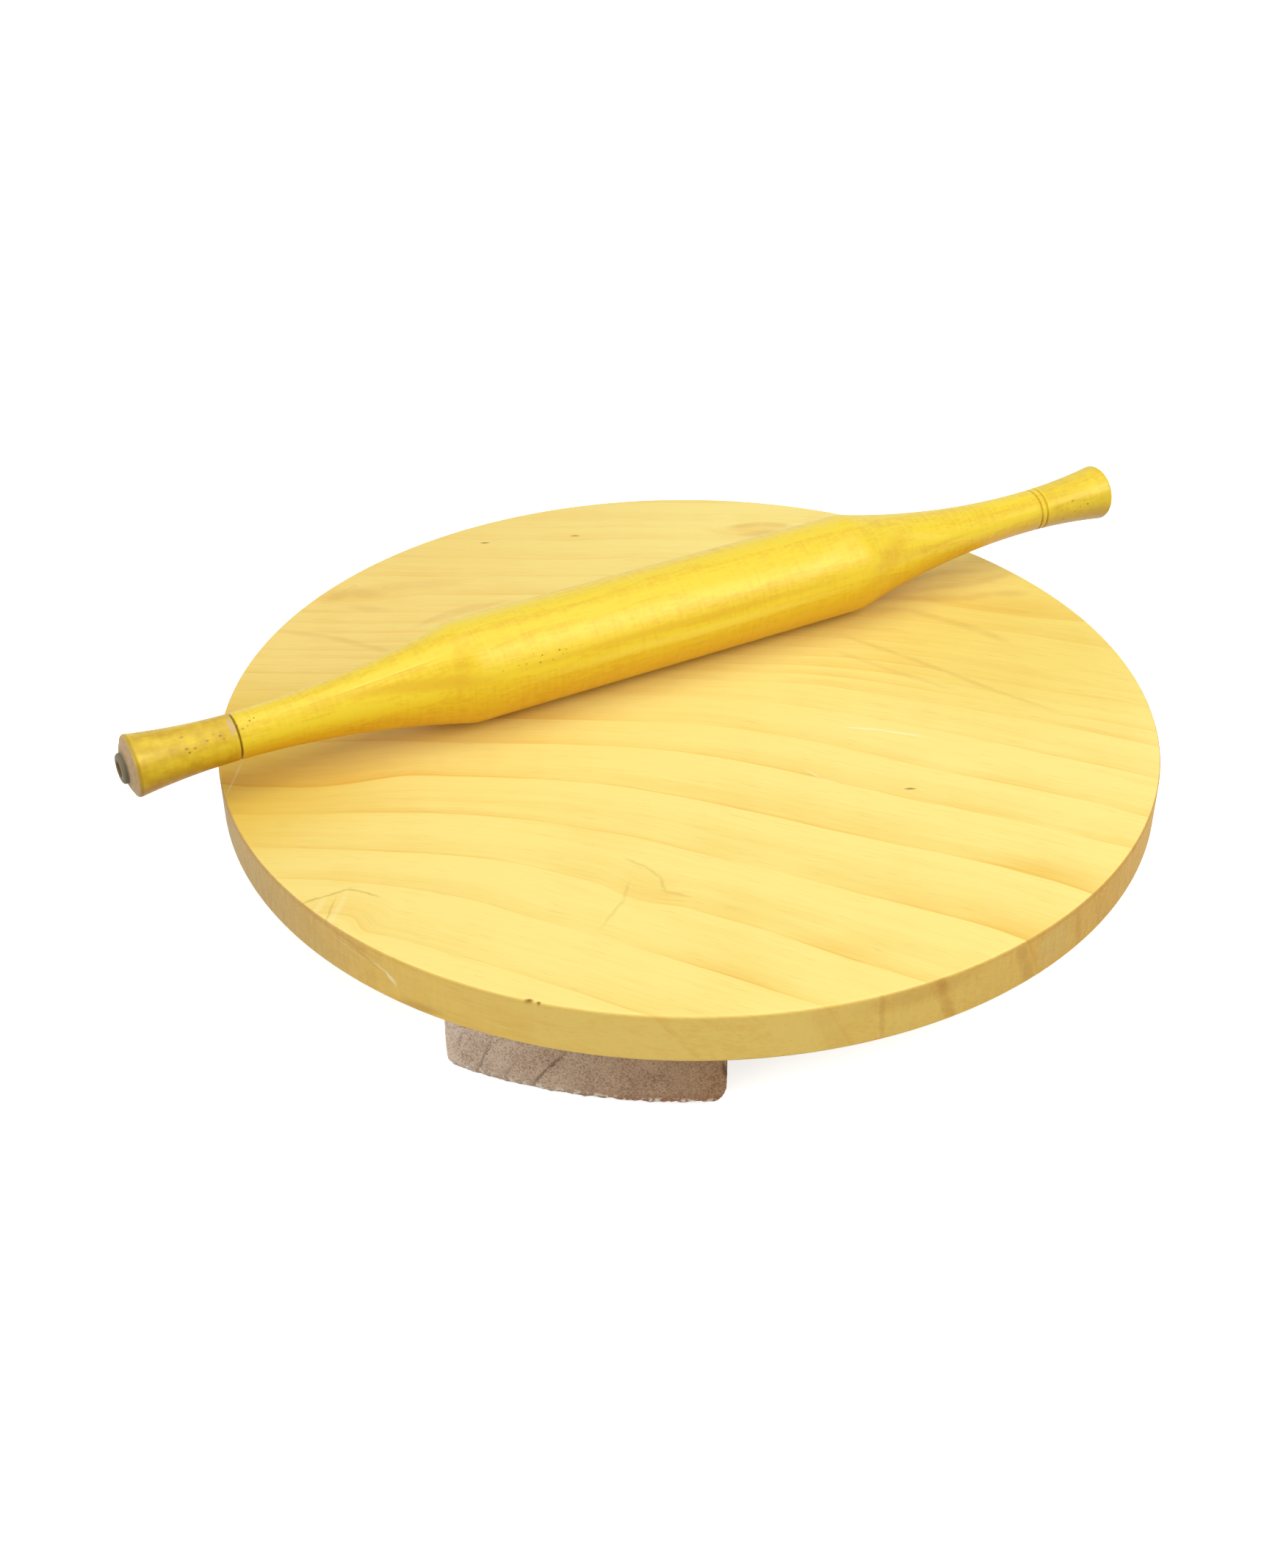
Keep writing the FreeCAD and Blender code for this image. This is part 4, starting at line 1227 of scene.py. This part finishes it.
class CHAKLA_OT_stage(bpy.types.Operator):
    """Makes the floor, the light and the camera"""

    bl_idname = "chakla.stage"
    bl_label = "Stage"

    def execute(self, context):
        looks = context.scene.chakla_stage
        scene = context.scene
        scene.view_settings.view_transform = "Standard"

        # The floor looks white to the camera and in reflections, and still takes the shadow
        paper, tree = new_material("pale_paper_floor")
        path, seen = seen_directly(tree)
        shadowed = add(tree, "BsdfDiffuse", {"Color": (0.9, 0.9, 0.9, 1)})
        strength = add(tree, "MapRange", [path["Is Camera Ray"], None, None, 0.3, 0.75])
        lift = add(tree, "Emission", {"Color": (1, 1, 1, 1), "Strength": strength})
        white = add(tree, "AddShader", [shadowed, lift])
        plain = add(tree, "BsdfDiffuse", {"Color": looks.floor})
        mixed = add(tree, "MixShader", [seen, plain, white])
        add(tree, "OutputMaterial", [mixed])
        sheet = bpy.data.meshes.new("floor")
        half = 4.0
        sheet.from_pydata([(-half, -half, 0), (half, -half, 0), (half, half, 0), (-half, half, 0)], [],
                          [(0, 1, 2, 3)])
        sheet.materials.append(paper)
        floor = bpy.data.objects.new("floor", sheet)
        scene.collection.objects.link(floor)

        world = bpy.data.worlds.new("studio")
        scene.world = world
        world.use_nodes = True
        tree = world.node_tree
        tree.nodes.clear()
        _, seen = seen_directly(tree)
        level = add(tree, "MapRange", [seen, None, None, looks.fill, 1.0])
        sky = add(tree, "Background", {"Color": (1, 1, 1, 1), "Strength": level})
        add(tree, "OutputWorld", [sky])

        lamps = (
            ("overhead_lamp", (0.05, 0.08, 1.95), (0.0, 0.0, 0.03), 1.6, 1.6, looks.overhead),
            ("right_lamp", (0.75, -0.33, 0.76), (0.0, 0.02, 0.04), 0.3, 0.75, looks.right),
            ("left_lamp", (-1.0, -0.65, 0.45), (0.0, 0.0, 0.03), 1.8, 0.8, looks.left),
        )
        for name, place, target, width, depth, watts in lamps:
            lamp = bpy.data.lights.new(name, "AREA")
            lamp.shape = "RECTANGLE"
            lamp.size = width
            lamp.size_y = depth
            lamp.energy = watts
            holder = bpy.data.objects.new(name, lamp)
            towards = Vector(target) - Vector(place)
            aimed = towards.to_track_quat("-Z", "Y").to_matrix().to_4x4()
            holder.matrix_world = Matrix.Translation(place) @ aimed
            scene.collection.objects.link(holder)

        yaw, pitch, roll = looks.camera_yaw, looks.camera_pitch, looks.camera_roll
        ahead = math.cos(pitch)
        forward = Vector((math.sin(yaw) * ahead, math.cos(yaw) * ahead, -math.sin(pitch)))
        level_right = Vector((math.cos(yaw), -math.sin(yaw), 0))
        level_up = level_right.cross(forward)
        right = math.cos(roll) * level_right + math.sin(roll) * level_up
        up = math.cos(roll) * level_up - math.sin(roll) * level_right
        lens = bpy.data.cameras.new("camera")
        lens.lens = looks.focal_length
        lens.sensor_width = 36.0
        lens.clip_start = 0.01
        camera = bpy.data.objects.new("camera", lens)
        turned = Matrix((right, up, -forward)).transposed().to_4x4()
        camera.matrix_world = Matrix.Translation(looks.camera_place) @ turned
        scene.collection.objects.link(camera)
        scene.camera = camera
        return {"FINISHED"}


class CHAKLA_PT_panel(bpy.types.Panel):
    """Lists the pieces of the rolling board"""

    bl_idname = "CHAKLA_PT_panel"
    bl_label = "Rolling board"
    bl_space_type = "VIEW_3D"
    bl_region_type = "UI"
    bl_category = "Rolling board"

    def draw(self, context):
        for operator in OPERATORS:
            self.layout.operator(operator.bl_idname)
        for name in GROUPS:
            group = getattr(context.scene, name)
            box = self.layout.box()
            for key in group.bl_rna.properties.keys():
                if key not in ("rna_type", "name"):
                    box.prop(group, key)


GROUPS = {
    "chakla_board": BoardLooks,
    "chakla_pin": PinLooks,
    "chakla_foot": FootLooks,
    "chakla_nail": NailLooks,
    "chakla_stage": StageLooks,
}
OPERATORS = (CHAKLA_OT_board, CHAKLA_OT_feet, CHAKLA_OT_nails, CHAKLA_OT_pin, CHAKLA_OT_stage)
CLASSES = (*GROUPS.values(), *OPERATORS, CHAKLA_PT_panel)


def register():
    """Registers the classes and hangs the properties on the scene."""
    for listed in CLASSES:
        bpy.utils.register_class(listed)
    for name, group in GROUPS.items():
        setattr(bpy.types.Scene, name, bpy.props.PointerProperty(type=group))


def unregister():
    """Takes the properties and the classes away again."""
    for name in GROUPS:
        delattr(bpy.types.Scene, name)
    for listed in reversed(CLASSES):
        bpy.utils.unregister_class(listed)


def main():
    """Makes every piece and the stage."""
    register()
    bpy.ops.chakla.board()
    bpy.ops.chakla.feet()
    bpy.ops.chakla.nails()
    bpy.ops.chakla.pin()
    bpy.ops.chakla.stage()


if __name__ == "__main__":
    main()
